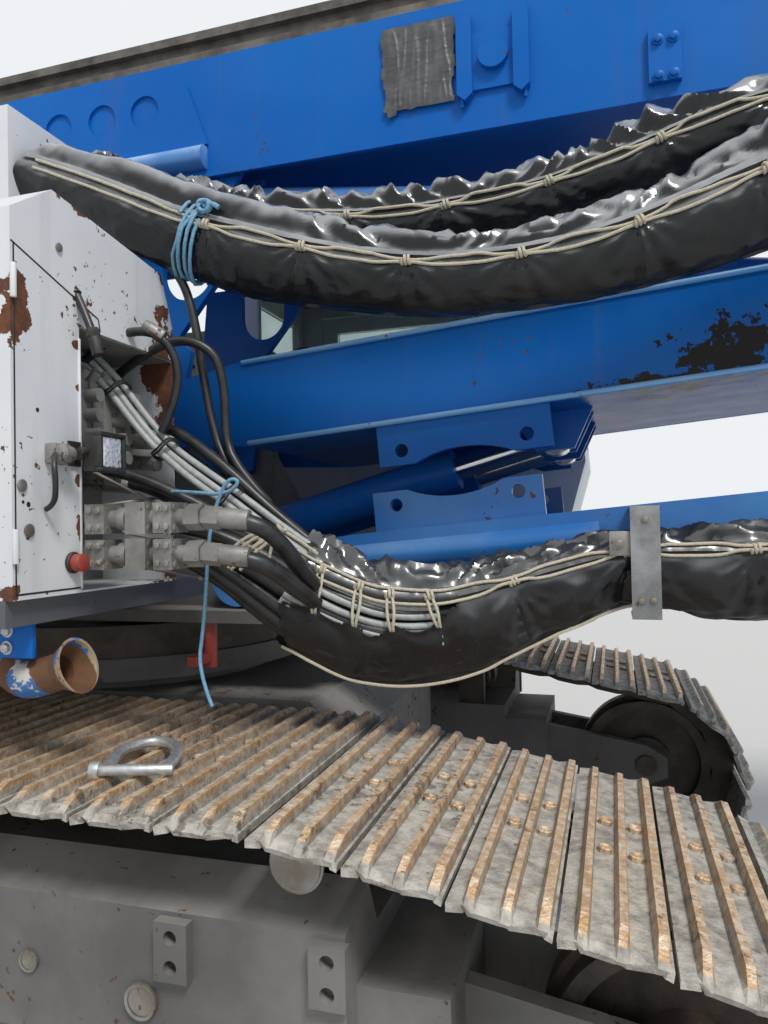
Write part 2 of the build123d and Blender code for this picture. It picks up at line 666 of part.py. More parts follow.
def house_door_block(gap=0):
    """Space of the left door of the engine house, grown by a gap."""
    y1 = UPPER_HALF_WIDTH
    return block(
        HOUSE_DOOR_REAR_X - gap, HOUSE_DOOR_FRONT_X + gap, y1 - HOUSE_DOOR_THICKNESS, y1 + 1 + gap,
        HOUSE_DOOR_BOTTOM_Z - gap, HOUSE_DOOR_TOP_Z + gap,
    )


def house_door():
    """Left door of the engine house, with a louvred field."""
    y1 = UPPER_HALF_WIDTH
    door = block(
        HOUSE_DOOR_REAR_X, HOUSE_DOOR_FRONT_X, y1 - HOUSE_DOOR_THICKNESS, y1,
        HOUSE_DOOR_BOTTOM_Z, HOUSE_DOOR_TOP_Z,
    )
    x = (HOUSE_DOOR_REAR_X + HOUSE_DOOR_FRONT_X) / 2
    for cut in slots((x, y1, 2150), 3, 7, 260, 34, 320, 70, 60, "x"):
        door -= cut
    return door + door_knuckles(HOUSE_HINGE, HOUSE_HINGE_Z)


def engine_block():
    return block(-2720, -1800, -WEB_OUTER_Y, WEB_OUTER_Y, WEB_TOP_Z, 2350)


def cooler_house():
    """Box behind the cab; its inner wall and top are slotted for the cooler's air."""
    y0, y1 = SIDE_DECK_INNER_Y, UPPER_HALF_WIDTH
    x0, x1 = HOUSE_FRONT_X + 20, CAB_REAR_X - 30
    shell = house_shell(x0, x1, y0, y1, SIDE_DECK_TOP_Z, 2600)
    for cut in slots(((x0 + x1) / 2, y0, 2330), 8, 6, 130, 26, 165, 62, 20, "x"):
        shell -= cut
    return shell


def hydraulic_tank():
    x0, x1 = HOUSE_FRONT_X + 20, CABINET_REAR_X - 20
    tank = block(x0, x1, -UPPER_HALF_WIDTH, -SIDE_DECK_INNER_Y, SIDE_DECK_TOP_Z, 2260)
    tank = fillet(tank.edges().filter_by(Axis.X), 60)
    return tank + bar_z(x0 + 200, -1200, 70, 2259, 2310)


def cabinet_section(inset=0):
    """Outline of the cabinet across the machine, as (y, z), set in by its sheet."""
    outer, inner = -UPPER_HALF_WIDTH + inset, CABINET_INNER_Y - inset
    return [
        (outer, SIDE_DECK_TOP_Z + inset), (outer, CABINET_EDGE_Z - inset / 2),
        (CABINET_RIDGE[0], CABINET_RIDGE[1] - inset), (CABINET_BROW[0] - inset / 2, CABINET_BROW[1] - inset),
        (inner, CABINET_BREAST_Z - inset / 2), (inner, SIDE_DECK_TOP_Z + inset),
    ]


def cabinet_roof_z(y):
    """Height of the cabinet's roof between its ridge and its brow."""
    (y0, z0), (y1, z1) = CABINET_RIDGE, CABINET_BROW
    return z0 + (z1 - z0) * (y - y0) / (y1 - y0)


def manifold_cabinet():
    """White cabinet with a sloping cover; its front is open at the valve recess."""
    x0, x1 = CABINET_REAR_X, CABINET_FRONT_X
    shell = plate_x(cabinet_section(), x0, x1)
    shell -= plate_x(cabinet_section(SHEET), x0 + SHEET, x1 - SHEET)
    recess = block(
        x1 - SHEET - 1, x1 + 1, RECESS_EDGE_Y, CABINET_INNER_Y - SHEET,
        SIDE_DECK_TOP_Z + SHEET, RECESS_TOP_Z,
    )
    return shell - recess + hose_post()


def hose_post():
    """Hood on a leg on the cabinet's roof; both upper bundles come out of its front."""
    x0, x1 = POST_FRONT_X - POST_LENGTH, POST_FRONT_X
    (y0, y1), (z0, z1) = POST_Y, POST_Z
    hood = block(x0, x1, y0, y1, z0, z1)
    hood -= block(x0 - 1, x1 - END_PLATE, y0 + 8, y1 - 8, z0 + 8, z1 - 8)
    inner = y0 + 100
    leg = [(y0, z0), (y0, cabinet_roof_z(y0) - 1), (inner, cabinet_roof_z(inner) - 1), (inner, z0)]
    return hood + plate_x(leg, x0 + 20, x1 - 20)


def manifold_panel():
    """Grey mounting panel at the back of the recess, with its side wall and roof."""
    y0, y1 = RECESS_EDGE_Y, CABINET_INNER_Y - SHEET
    z0, z1 = SIDE_DECK_TOP_Z + SHEET, RECESS_TOP_Z
    panel = block(PANEL_X - 10, PANEL_X, y0, y1, z0, z1)
    panel += block(PANEL_X, CABINET_FRONT_X - SHEET, y0, y0 + SHEET, z0, z1)
    return panel + block(PANEL_X, CABINET_FRONT_X - SHEET, y0 + SHEET, y1, z1 - SHEET, z1)


def valve_block():
    """Control valve: a row of sections with their solenoids on the panel."""
    y0, y1 = RECESS_EDGE_Y + 50, CABINET_INNER_Y - 82
    z1 = RECESS_TOP_Z - 110
    body = block(PANEL_X, PANEL_X + 130, y0, y1, z1 - 220, z1)
    for i in range(4):
        z = z1 - 190 + i * 52
        body += bar_x(y0 + 80, z, 18, PANEL_X + 130, PANEL_X + 210)
        body += bar_x(y1 - 80, z, 18, PANEL_X + 130, PANEL_X + 210)
    return body


def flange_pipes():
    """Two pipes out of the recess, each with two square flange blocks and a hex nut."""
    parts = []
    for z in (1617, 1531):
        pipe = bar_x(PIPE_Y, z, 21, PANEL_X, 1050)
        for x0, x1, half in ((735, 790, 36), (850, 905, 38), (925, 975, 36)):
            pipe += block(x0, x1, PIPE_Y - half, PIPE_Y + half, z - half, z + half)
        nut = extrude(RegularPolygon(32, 6), amount=40)
        pipe += Pos(1000, PIPE_Y, z) * Rot(0, 90, 0) * nut
        parts.append(pipe)
    return joined(parts)


def work_lamp():
    """Square work lamp on a bracket at the recess edge."""
    y, z = LAMP_AT
    lamp = block(CABINET_FRONT_X + 40, CABINET_FRONT_X + 95, y - 45, y + 45, z - 45, z + 45)
    lamp = chamfer(lamp.edges().group_by(Axis.X)[0], 14)
    bracket = block(CABINET_FRONT_X, CABINET_FRONT_X + 6, y - 35, y + 5, z - 30, z + 30)
    return lamp + bracket + block(CABINET_FRONT_X + 6, CABINET_FRONT_X + 42, y - 22, y - 8, z - 15, z + 15)


def stub_pipe():
    """Pipe bend with a flared open mouth, clamped under the right deck."""
    x, y = 560, ELBOW_Y
    path = FilletPolyline((x, y, SIDE_DECK_BOTTOM_Z), (x, y, 1215), (x + 160, y, 1264), radius=70)
    pipe = sweep(Plane(path @ 0, z_dir=path % 0) * Circle(44), path=path)
    bore = sweep(Plane(path @ 0, z_dir=path % 0) * Circle(38), path=path)
    mouth = Plane(origin=path @ 1, z_dir=path % 1)
    flare = Part() + Solid.make_cone(44, 66, 48, mouth)
    return pipe + flare - bore - Solid.make_cone(38, 60, 48.5, mouth)


def slew_lock_lever():
    x, y = 660, -520
    lever = bar_z(x, y, 22, 1130, DECK_BOTTOM_Z)
    return lever + block(x - 15, x + 15, y - 120, y, 1150, 1180)


def mast_cradle():
    """Two plates on the webs with a flat rest for the mast's cross bar and a hook before it."""
    x, z = CRADLE_BAR_AT
    bx, bz = UPPER_ARM_PIVOT
    top = z - CRADLE_BAR_RADIUS - SEAT_GAP
    hx, hz = x + 175, z - 178
    outer, inner = 165, 104
    outline = [(bx - 200, bz - 120), (bx + 60, bz - 120), (bx + 90, bz + 60)]
    outline += [(hx + 40, hz - outer + 10), (hx - 60, hz - 60), (x + 60, top), (x - 110, top), (x - 110, top - 60)]
    outline += [(bx - 220, bz + 60)]
    plate = plate_y(outline, WEB_INNER_Y - 30, WEB_INNER_Y)
    hook = bar_y((hx, hz), outer, WEB_INNER_Y - 30, WEB_INNER_Y)
    hook += block(hx - outer, hx + outer, WEB_INNER_Y - 30, WEB_INNER_Y, hz, hz + 93)
    plate += hook - block(hx - outer, hx + outer, 0, 900, hz + 93, hz + outer)
    plate -= bar_y((hx, hz), inner, 0, 900) + block(hx - inner, hx + inner, 0, 900, hz, hz + 300)
    # the hook's lower side is cut flat, clear of the upper arm when that is fully raised
    raised = ARM_LIFT_DEG + LUFF_RANGE_DEG
    clear = UPPER_ARM_HALF_DEPTH + ARM_TOP_GAP
    sweep = [along(UPPER_ARM_PIVOT, raised, s, o) for s, o in ((300, clear), (1000, clear), (1000, -300), (300, -300))]
    plate -= plate_y(sweep, 0, 900)
    plate -= bar_y(UPPER_ARM_PIVOT, ARM_PIN_RADIUS + LANE_GAP, 0, 900)
    return both_sides(plate)


def cab_outline(inset=0):
    """Side outline of the cab as (x, z): upright rear, raked front."""
    x0, x1 = CAB_REAR_X + inset, CAB_FRONT_X - inset
    z0, z1 = SIDE_DECK_TOP_Z + inset, CAB_TOP_Z - inset
    return [(x0, z0), (x1 - 120, z0), (x1, z0 + 420), (x1 - 60, z1 - 260), (x1 - 330, z1), (x0, z1)]


def cab_shell():
    """Hollow cab with the window and door openings cut."""
    shell = plate_y(cab_outline(), CAB_INNER_Y, CAB_OUTER_Y)
    shell -= plate_y(cab_outline(CAB_WALL), CAB_INNER_Y + CAB_WALL, CAB_OUTER_Y - CAB_WALL)
    for x0, x1, y0, y1, z0, z1 in cab_windows():
        shell -= block(x0, x1, y0, y1, z0, z1)
    gap = DOOR_GAP
    shell -= block(
        CAB_DOOR_REAR_X - gap, CAB_DOOR_FRONT_X + gap, CAB_OUTER_Y - CAB_WALL - 1, CAB_OUTER_Y + 1,
        CAB_DOOR_BOTTOM_Z - gap, CAB_DOOR_TOP_Z + gap,
    )
    return shell + frame_knuckles(CAB_HINGE, CAB_HINGE_Z)


def cab_windows():
    """Openings as x0, x1, y0, y1, z0, z1: front, rear, inner side, outer front corner, roof."""
    y0, y1 = CAB_INNER_Y, CAB_OUTER_Y
    return (
        (CAB_FRONT_X - 400, CAB_FRONT_X + 1, y0 + 80, y1 - 80, 1960, 2640),
        (CAB_REAR_X - 1, CAB_REAR_X + 60, y0 + 100, y1 - 100, 2150, 2780),
        (CAB_REAR_X + 120, CAB_FRONT_X - 240, y0 - 1, y0 + 60, 2050, 2740),
        (CAB_DOOR_FRONT_X + 80, CAB_FRONT_X - 230, y1 - 60, y1 + 1, 2050, 2640),
    )


def cab_glass():
    """Panes seated in the middle of the wall of each opening."""
    panes = []
    inset = SEAT_GAP
    for index, (x0, x1, y0, y1, z0, z1) in enumerate(cab_windows()):
        if index == 0:
            half = (CAB_WALL - GLASS) / 2
            slab = plate_y(cab_outline(half), y0 + inset, y1 - inset)
            slab -= plate_y(cab_outline(half + GLASS), y0, y1)
            panes.append(slab & block(x0, x1, y0, y1, z0 + inset, z1 - inset))
        elif index == 1:
            x = CAB_REAR_X + CAB_WALL / 2
            panes.append(block(x - GLASS / 2, x + GLASS / 2, y0 + inset, y1 - inset, z0 + inset, z1 - inset))
        else:
            wall = CAB_INNER_Y + CAB_WALL / 2 if index == 2 else CAB_OUTER_Y - CAB_WALL / 2
            pane = block(x0 + inset, x1 - inset, wall - GLASS / 2, wall + GLASS / 2, z0 + inset, z1 - inset)
            panes.append(pane)
    return joined(panes)


def cab_door():
    y0, y1 = CAB_OUTER_Y - CAB_WALL, CAB_OUTER_Y
    door = block(CAB_DOOR_REAR_X, CAB_DOOR_FRONT_X, y0, y1, CAB_DOOR_BOTTOM_Z, CAB_DOOR_TOP_Z)
    x0, x1, z0, z1 = DOOR_WINDOW
    door -= block(x0, x1, y0 - 1, y1 + 1, z0, z1)
    return door + door_knuckles(CAB_HINGE, CAB_HINGE_Z)


def cab_door_glass():
    y = CAB_OUTER_Y - CAB_WALL / 2
    x0, x1, z0, z1 = DOOR_WINDOW
    g = SEAT_GAP
    return block(x0 + g, x1 - g, y - GLASS / 2, y + GLASS / 2, z0 + g, z1 - g)


def operator_station():
    """Seat on its base, two consoles and the floor they stand on."""
    y = (CAB_INNER_Y + CAB_OUTER_Y) / 2
    z0 = SIDE_DECK_TOP_Z + CAB_WALL
    x = CAB_REAR_X + 520
    seat = block(x - 180, x + 220, y - 150, y + 150, z0, z0 + 330)
    seat += fillet(block(x - 230, x + 260, y - 240, y + 240, z0 + 330, z0 + 450).edges(), 40)
    seat += fillet(block(x - 300, x - 180, y - 230, y + 230, z0 + 400, z0 + 1050).edges(), 45)
    for side in (-1, 1):
        near, far = sorted((y + side * 245, y + side * 345))
        seat += block(x - 100, x + 330, near, far, z0, z0 + 600)
    return seat


def exhaust():
    x, y = HOUSE_REAR_X + 290, -UPPER_HALF_WIDTH + 450
    pipe = bar_z(x, y, 60, HOUSE_TOP_Z, 2980) + bar_z(x, y, 110, HOUSE_TOP_Z, 2700)
    return pipe - bar_z(x, y, 55, HOUSE_TOP_Z + 60, 2981)


def handrails():
    """Tube rails round the roof of the engine house, on both sides of the mast."""
    parts = []
    for y in (UPPER_HALF_WIDTH - 40, 620):
        z = HOUSE_TOP_Z + 480
        rail = bar((HOUSE_REAR_X + 60, y, z), (HOUSE_FRONT_X - 60, y, z), 19)
        for x in (HOUSE_REAR_X + 60, (HOUSE_REAR_X + HOUSE_FRONT_X) / 2, HOUSE_FRONT_X - 60):
            rail += bar_z(x, y, 19, HOUSE_TOP_Z, z)
        parts.append(rail)
    return both_sides(joined(parts))


def winch_frames():
    """Bearing plates of both winches, standing on the bottom flange between the webs."""
    z0 = DECK_BOTTOM_Z + FLANGE_THICKNESS
    parts = []
    for x, z, flange, _, half in WINCHES.values():
        outline = [(x - flange * 0.8, z0), (x + flange * 0.8, z0), (x + 130, z + 90), (x - 130, z + 90)]
        plate = plate_y(outline, half + 10, half + 45)
        plate -= bar_y((x, z), WINCH_SHAFT_RADIUS + PIN_CLEARANCE, 0, 900)
        parts.append(both_sides(plate))
    return joined(parts)


def winch_drum(key):
    x, z, flange, drum, half = WINCHES[key]
    body = bar_y((x, z), drum, -half, half)
    for side in (-1, 1):
        near, far = sorted((side * half, side * (half - 25)))
        body += bar_y((x, z), flange, near, far)
    return body + bar_y((x, z), WINCH_SHAFT_RADIUS, -half - 44, half + 44)


def arm(half_depth, pivot, length, extra=()):
    """Hollow plate arm drawn level from its rear pivot, then raised to its line."""
    x0, z = pivot
    x1 = x0 + length
    d = half_depth
    end = ARM_BOSS_RADIUS - 1
    side = [(x0, z - end), (x0 + ARM_END_CUT, z - d), (x1 - ARM_END_CUT, z - d), (x1, z - end)]
    side += [(x1, z + end), (x1 - ARM_END_CUT, z + d), (x0 + ARM_END_CUT, z + d), (x0, z + end)]
    half = ARM_HALF_WIDTH
    plates = plate_y(side, half - ARM_PLATE, half)
    for x in (x0, x1):
        inner = (WEB_OUTER_Y if x == x0 else CARRIER_OUTER_Y) + LANE_GAP
        plates += bar_y((x, z), ARM_BOSS_RADIUS, inner, half)
    whole = both_sides(plates)
    for level in (z - d, z + d - ARM_PLATE):
        whole += block(
            x0 + ARM_END_CUT, x1 - ARM_END_CUT, -half + ARM_PLATE, half - ARM_PLATE, level, level + ARM_PLATE
        )
    for x, inner in ((x0, WEB_INNER_Y), (x1, CARRIER_INNER_Y)):
        whole += both_sides(bar_y((x, z), ARM_PIN_RADIUS, inner, half - 5))
    for shape in extra:
        whole += shape
    return turned(whole, pivot, ARM_LIFT_DEG)


def transport_plate(x0, x1, z0, z1, y0, y1, arc_at):
    """Plate with two holes and a round hollow in the edge that faces the other arm."""
    plate = block(x0, x1, y0, y1, z0, z1)
    edge = z0 if arc_at == "bottom" else z1
    inward = 1 if arc_at == "bottom" else -1
    middle = (x0 + x1) / 2
    plate -= bar_y((middle, edge - inward * 330), 365, y0 - 1, y1 + 1)
    for x in (x0 + 75, x1 - 75):
        plate -= bar_y((x, edge + inward * 45), 21, y0 - 1, y1 + 1)
    return plate


def upper_arm():
    x, z = UPPER_ARM_PIVOT
    d = UPPER_ARM_HALF_DEPTH
    plate = transport_plate(x + 890, x + 1430, z - d - 130, z - d, 470, ARM_HALF_WIDTH, "bottom")
    lx, lz = x + LUFF_LUG_ALONG, z - LUFF_LUG_BELOW
    lug = [(lx - 130, z - d), (lx + 130, z - d), (lx + 60, lz - 50), (lx - 60, lz - 50)]
    gap = LUFF_EYE_HALF + LANE_GAP
    lugs = plate_y(lug, LUFF_LANE_Y + gap, LUFF_LANE_Y + gap + 25)
    lugs += plate_y(lug, LUFF_LANE_Y - gap - 25, LUFF_LANE_Y - gap)
    lips = block(x + ARM_END_CUT, x + ARM_LENGTH - ARM_END_CUT, 500, 512, z - d, z - d + 14)
    whole = arm(d, UPPER_ARM_PIVOT, ARM_LENGTH, [both_sides(plate), both_sides(lugs), both_sides(lips)])
    return whole + hose_saddle()


def lower_arm():
    x, z = LOWER_ARM_PIVOT
    d = LOWER_ARM_HALF_DEPTH
    plate = transport_plate(x + 490, x + 1030, z + d, z + d + 125, 425, 455, "top")
    tube = bar((x + 300, 485, z + 30), (x + 1180, 485, z + 30), 45)
    tube -= block(x, x + 2000, 300, 485, z - 200, z + 200)
    return arm(d, LOWER_ARM_PIVOT, ARM_LENGTH, [both_sides(plate), both_sides(tube)]) + hose_terminal()


def mast_carrier():
    """Plates that join the arms' front pins, the mast pivot and the mast cylinders' pins."""
    cx, cz = LOWER_HEAD_PIVOT
    dx, dz = UPPER_HEAD_PIVOT
    px, pz = MAST_PIVOT
    ex, ez = TILT_ROD_PIN
    outline = [(cx - 80, cz - 60), (cx, cz - 100), (cx + 80, cz - 60), (cx + 100, cz)]
    outline += [(cx + 60, cz + 300), (px + 60, pz - 90), (px + 85, pz + 60), (px - 10, pz + 105)]
    outline += [(px - 200, pz + 60), (ex + 20, ez + 95), (ex - 70, ez + 60), (ex - 85, ez - 30)]
    outline += [(dx - 100, dz - 30), (dx - 60, dz - 100), (cx - 110, cz + 20)]
    plates = plate_y(outline, CARRIER_INNER_Y, CARRIER_OUTER_Y)
    plates += bar_y((ex, ez), 70, CARRIER_OUTER_Y, TILT_LANE_Y - TILT_EYE_HALF - LANE_GAP)
    whole = both_sides(plates)
    inner = CARRIER_INNER_Y
    for at, radius in (((cx - 20, cz + 270), 90), ((px - 240, pz - 170), 90)):
        whole += bar_y(at, radius, -inner, inner)
    for at, radius in (
        (LOWER_HEAD_PIVOT, ARM_PIN_RADIUS), (UPPER_HEAD_PIVOT, ARM_PIN_RADIUS), (MAST_PIVOT, MAST_PIN_RADIUS)
    ):
        whole -= bar_y(at, radius + PIN_CLEARANCE, -600, 600)
    return whole


def cylinder_barrel(base, tip, share, radius, bore, lane, half_eye):
    """Barrel with its base eye; share is the part of the pin distance that it covers."""
    lift = lift_deg(base, tip)
    length = distance(base, tip) * share
    x, z = base
    body = bar_x(lane, z, radius, x + BARREL_START, x + length)
    body -= bar_x(lane, z, bore + PIN_CLEARANCE, x + BARREL_START + 60, x + length + 1)
    body += block(x, x + BARREL_START, lane - half_eye + 2, lane + half_eye - 2, z - 50, z + 50)
    body += bar_y(base, radius - 5, lane - half_eye, lane + half_eye)
    return turned(body, base, lift)


def cylinder_rod(base, tip, inside, radius, eye, lane, half_eye):
    """Rod from inside the barrel to the eye at its tip."""
    lift = lift_deg(base, tip)
    length = distance(base, tip)
    x, z = base
    body = bar_x(lane, z, radius, x + inside, x + length)
    body += bar_y((x + length, z), eye, lane - half_eye, lane + half_eye)
    return turned(body, base, lift)


def luff_barrels():
    barrel = cylinder_barrel(
        LUFF_BARREL_PIN, LUFF_ROD_PIN, 0.78, LUFF_BARREL_RADIUS, LUFF_ROD_RADIUS, LUFF_LANE_Y, LUFF_EYE_HALF
    )
    return both_sides(barrel) + bar_y(LUFF_BARREL_PIN, LUFF_ROD_RADIUS, -WEB_OUTER_Y, WEB_OUTER_Y)


def luff_rods():
    return both_sides(
        cylinder_rod(LUFF_BARREL_PIN, LUFF_ROD_PIN, 500, LUFF_ROD_RADIUS, 62, LUFF_LANE_Y, LUFF_EYE_HALF)
    )


def tilt_barrels():
    barrel = cylinder_barrel(
        TILT_BARREL_PIN, TILT_ROD_PIN, 0.82, TILT_BARREL_RADIUS, TILT_ROD_RADIUS, TILT_LANE_Y, TILT_EYE_HALF
    )
    pin = bar_y(TILT_BARREL_PIN, 40, TILT_LANE_Y - 90, TILT_LANE_Y + 90)
    return both_sides(barrel + pin)


def tilt_rods():
    return both_sides(
        cylinder_rod(TILT_BARREL_PIN, TILT_ROD_PIN, 650, TILT_ROD_RADIUS, 78, TILT_LANE_Y, TILT_EYE_HALF)
    )


def mast_body():
    """Hollow box mast with pivot ears, cylinder lugs, cradle bar and side doublers."""
    half, t = MAST_HALF_WIDTH, MAST_PLATE
    x0, x1 = MAST_TAIL_X + 900, MAST_FRONT_X - 500
    z0, z1 = MAST_BOTTOM_Z, MAST_TOP_Z
    side = block(x0, x1, half - t, half, z0, z1)
    px, pz = MAST_PIVOT
    ear = [(px - 420, z0), (px + 420, z0), (px + 120, pz - 60), (px + 40, pz - 120), (px - 40, pz - 120)]
    ear += [(px - 120, pz - 60)]
    side += plate_y(ear, half - t - 25, half)
    side += bar_y(MAST_PIVOT, 100, CARRIER_OUTER_Y + LANE_GAP, half - t)
    side += bar_y(MAST_PIVOT, MAST_PIN_RADIUS, CARRIER_INNER_Y, half - t)
    fx, fz = TILT_BARREL_PIN
    lug = [(fx - 160, z0 + 50), (fx + 160, z0 + 50), (fx + 60, fz - 60), (fx - 60, fz - 60)]
    gap = TILT_EYE_HALF + LANE_GAP
    lugs = plate_y(lug, TILT_LANE_Y + gap, TILT_LANE_Y + gap + 25)
    lugs += plate_y(lug, TILT_LANE_Y - gap - 25, TILT_LANE_Y - gap)
    side += lugs - bar_y(TILT_BARREL_PIN, 40 + PIN_CLEARANCE, 0, half)
    bx, bz = CRADLE_BAR_AT
    side += block(bx - 50, bx + 50, 200, 225, bz - 40, z0 + 50)
    top = DOUBLER_TOP_Z
    doubler = [(-700, z0 + 110), (640, z0 + 110), (560, z0 + 330), (420, top), (-560, top)]
    pad = plate_y(doubler, half, half + 12)
    for x in (20, 210, 390):
        pad -= bar_y((x, z0 + 265), 58, half + 2, half + 13)
    side += pad
    for x in (1550, 1725):
        bar_face = plate_y([(x - 24, z0 + 105), (x, z0 + 85), (x + 24, z0 + 105), (x + 24, top), (x - 24, top)], half, half + 30)
        side += bar_face
    side += block(1574, 1701, half, half + 12, z0 + 120, z0 + 300)
    side += bar_y((1640, z0 + 217), 46, half, half + 34)
    side += block(2090, 2180, half, half + 20, z0 + 40, z0 + 200)
    side += block(-1900, -1780, half, half + 20, z0 + 60, top)
    side += block(-3900, -3780, half, half + 20, z0 + 60, top)
    whole = both_sides(side)
    whole += block(x0, x1, -half + t, half - t, z0 + 50, z0 + 50 + t)
    whole += block(x0, x1, -half + t, half - t, z1 - t, z1)
    return whole + bar_y(CRADLE_BAR_AT, CRADLE_BAR_RADIUS, -half + t, half - t)


def mast_rails():
    """Guide rails on the mast's front face."""
    z = MAST_TOP_Z
    rail = block(MAST_TAIL_X + 900, MAST_FRONT_X - 300, MAST_HALF_WIDTH - RAIL_WIDTH, MAST_HALF_WIDTH, z, z + RAIL_HEIGHT)
    web = block(MAST_TAIL_X + 900, MAST_FRONT_X - 300, MAST_HALF_WIDTH - 25, MAST_HALF_WIDTH + 1, z + 25, z + 70)
    return both_sides(rail - web)


def mast_foot():
    """Lower end of the mast: closed box with a foot plate."""
    half = MAST_HALF_WIDTH
    x0, x1 = MAST_FRONT_X - 500, MAST_FRONT_X
    outline = [(x0, MAST_BOTTOM_Z), (x1 - 30, MAST_BOTTOM_Z + 60), (x1 - 30, MAST_TOP_Z), (x0, MAST_TOP_Z)]
    foot = plate_y(outline, -half, half)
    foot -= block(x0 - 1, x1 - 60, -half + 20, half - 20, MAST_BOTTOM_Z + 80, MAST_TOP_Z - 20)
    return foot + block(x1 - 30, x1, -half - 40, half + 40, MAST_BOTTOM_Z + 20, MAST_TOP_Z + 60)


def mast_head():
    """Upper end of the mast: side plates that carry the sheaves out to the rope line."""
    half = MAST_HALF_WIDTH
    x0, x1 = MAST_TAIL_X, MAST_TAIL_X + 900
    fx, fz, _ = SHEAVES["front"]
    outline = [(x1, MAST_BOTTOM_Z), (x1, MAST_TOP_Z), (x1 - 100, MAST_TOP_Z + 100), (fx + 180, fz + 120)]
    outline += [(fx - 120, fz + 120), (x0, MAST_TOP_Z + 200), (x0, MAST_BOTTOM_Z + 60), (x0 + 120, MAST_BOTTOM_Z - 60)]
    outline += [(x1 - 200, MAST_BOTTOM_Z - 60)]
    plates = plate_y(outline, half - 140, half - 110)
    plates += block(x1 - 120, x1 - 30, half - 110, half, MAST_BOTTOM_Z, MAST_TOP_Z)
    whole = both_sides(plates)
    whole += block(x1 - 30, x1, -half, half, MAST_BOTTOM_Z, MAST_TOP_Z)
    whole += block(x0, x0 + 25, -half + 140, half - 140, MAST_BOTTOM_Z + 100, MAST_TOP_Z + 100)
    for x, z, _ in SHEAVES.values():
        whole -= bar_y((x, z), SHEAVE_AXLE_RADIUS + PIN_CLEARANCE, -600, 600)
    return whole


def sheave(key):
    """Two rope sheaves on one axle."""
    x, z, radius = SHEAVES[key]
    inner = MAST_HALF_WIDTH - 140
    body = bar_y((x, z), SHEAVE_AXLE_RADIUS, -inner - 29, inner + 29)
    for y in (-140, 140):
        wheel = bar_y((x, z), radius, y - 32, y + 32) - ring_y((x, z), radius + 1, radius - 28, y - 14, y + 14)
        for side in (-1, 1):
            near, far = sorted((y + side * 12, y + side * 33))
            wheel -= ring_y((x, z), radius - 60, 85, near, far)
        body += wheel
    return body


def crowd_barrel():
    """Crowd cylinder on the mast's front face, held by two saddles."""
    z = MAST_TOP_Z + CROWD_BARREL_RADIUS + 30
    x1 = CARRIAGE_REAR_X - CROWD_UP - 60
    x0 = x1 - CROWD_UP - CROWD_DOWN - 200
    barrel = bar_x(0, z, CROWD_BARREL_RADIUS, x0, x1)
    barrel -= bar_x(0, z, CROWD_ROD_RADIUS + PIN_CLEARANCE, x0 + 60, x1 + 1)
    for x in (x0 + 300, (x0 + x1) / 2, x1 - 300):
        barrel += block(x - 50, x + 50, -110, 110, MAST_TOP_Z, z) - bar_x(0, z, CROWD_BARREL_RADIUS - 5, x - 60, x + 60)
    return barrel


def crowd_rod():
    z = MAST_TOP_Z + CROWD_BARREL_RADIUS + 30
    x1 = CARRIAGE_REAR_X
    return bar_x(0, z, CROWD_ROD_RADIUS, x1 - CROWD_UP - CROWD_DOWN - 130, x1)


def rotary_carriage():
    """Sledge that hooks round both rails and carries the gearbox on two side plates."""
    x0, x1 = CARRIAGE_REAR_X, CARRIAGE_REAR_X + CARRIAGE_LENGTH
    half = MAST_HALF_WIDTH
    z0 = MAST_TOP_Z + RAIL_HEIGHT + LANE_GAP
    sledge = block(x0, x1, -half - 60, half + 60, z0, z0 + 60)
    sledge += block(x0, x0 + 40, -120, 120, MAST_TOP_Z + LANE_GAP, z0 + 1)
    for xa in (x0, x1 - 300):
        guide = block(xa, xa + 300, half + LANE_GAP, half + 60, MAST_TOP_Z - 60, z0)
        sledge += both_sides(guide)
    gx0, gx1 = x0 + 350, x1 - 150
    cheek = [(gx0, z0 + 60), (gx1, z0 + 60), (gx1 - 80, ROTARY_AXIS_Z + 60), (gx0 + 120, ROTARY_AXIS_Z + 60)]
    return sledge + both_sides(plate_y(cheek, half - 10, half + 40))


def rotary_gearbox():
    """Round gearbox with its drive motors, between the cheeks of the carriage."""
    x0 = CARRIAGE_REAR_X + 450
    z = ROTARY_AXIS_Z
    box = bar_x(0, z, 400, x0, x0 + 520)
    box += block(x0 + 60, x0 + 460, -MAST_HALF_WIDTH + 10, MAST_HALF_WIDTH - 10, z - 180, z + 40)
    for y in (-265, 265):
        box += bar_x(y, z + 245, 105, x0 - 280, x0)
    return box - bar_x(0, z, SLEEVE_RADIUS + 1, x0 - 1, x0 + 521)


def drive_sleeve():
    """Drive sleeve through the gearbox, bored for the kelly bar."""
    x0 = CARRIAGE_REAR_X + 350
    z = ROTARY_AXIS_Z
    sleeve = bar_x(0, z, SLEEVE_RADIUS, x0, x0 + 900)
    sleeve += bar_x(0, z, 300, x0 + 640, x0 + 700) + bar_x(0, z, 270, x0 + 860, x0 + 900)
    return sleeve - bar_x(0, z, KELLY_RADIUS, x0 - 1, x0 + 901)


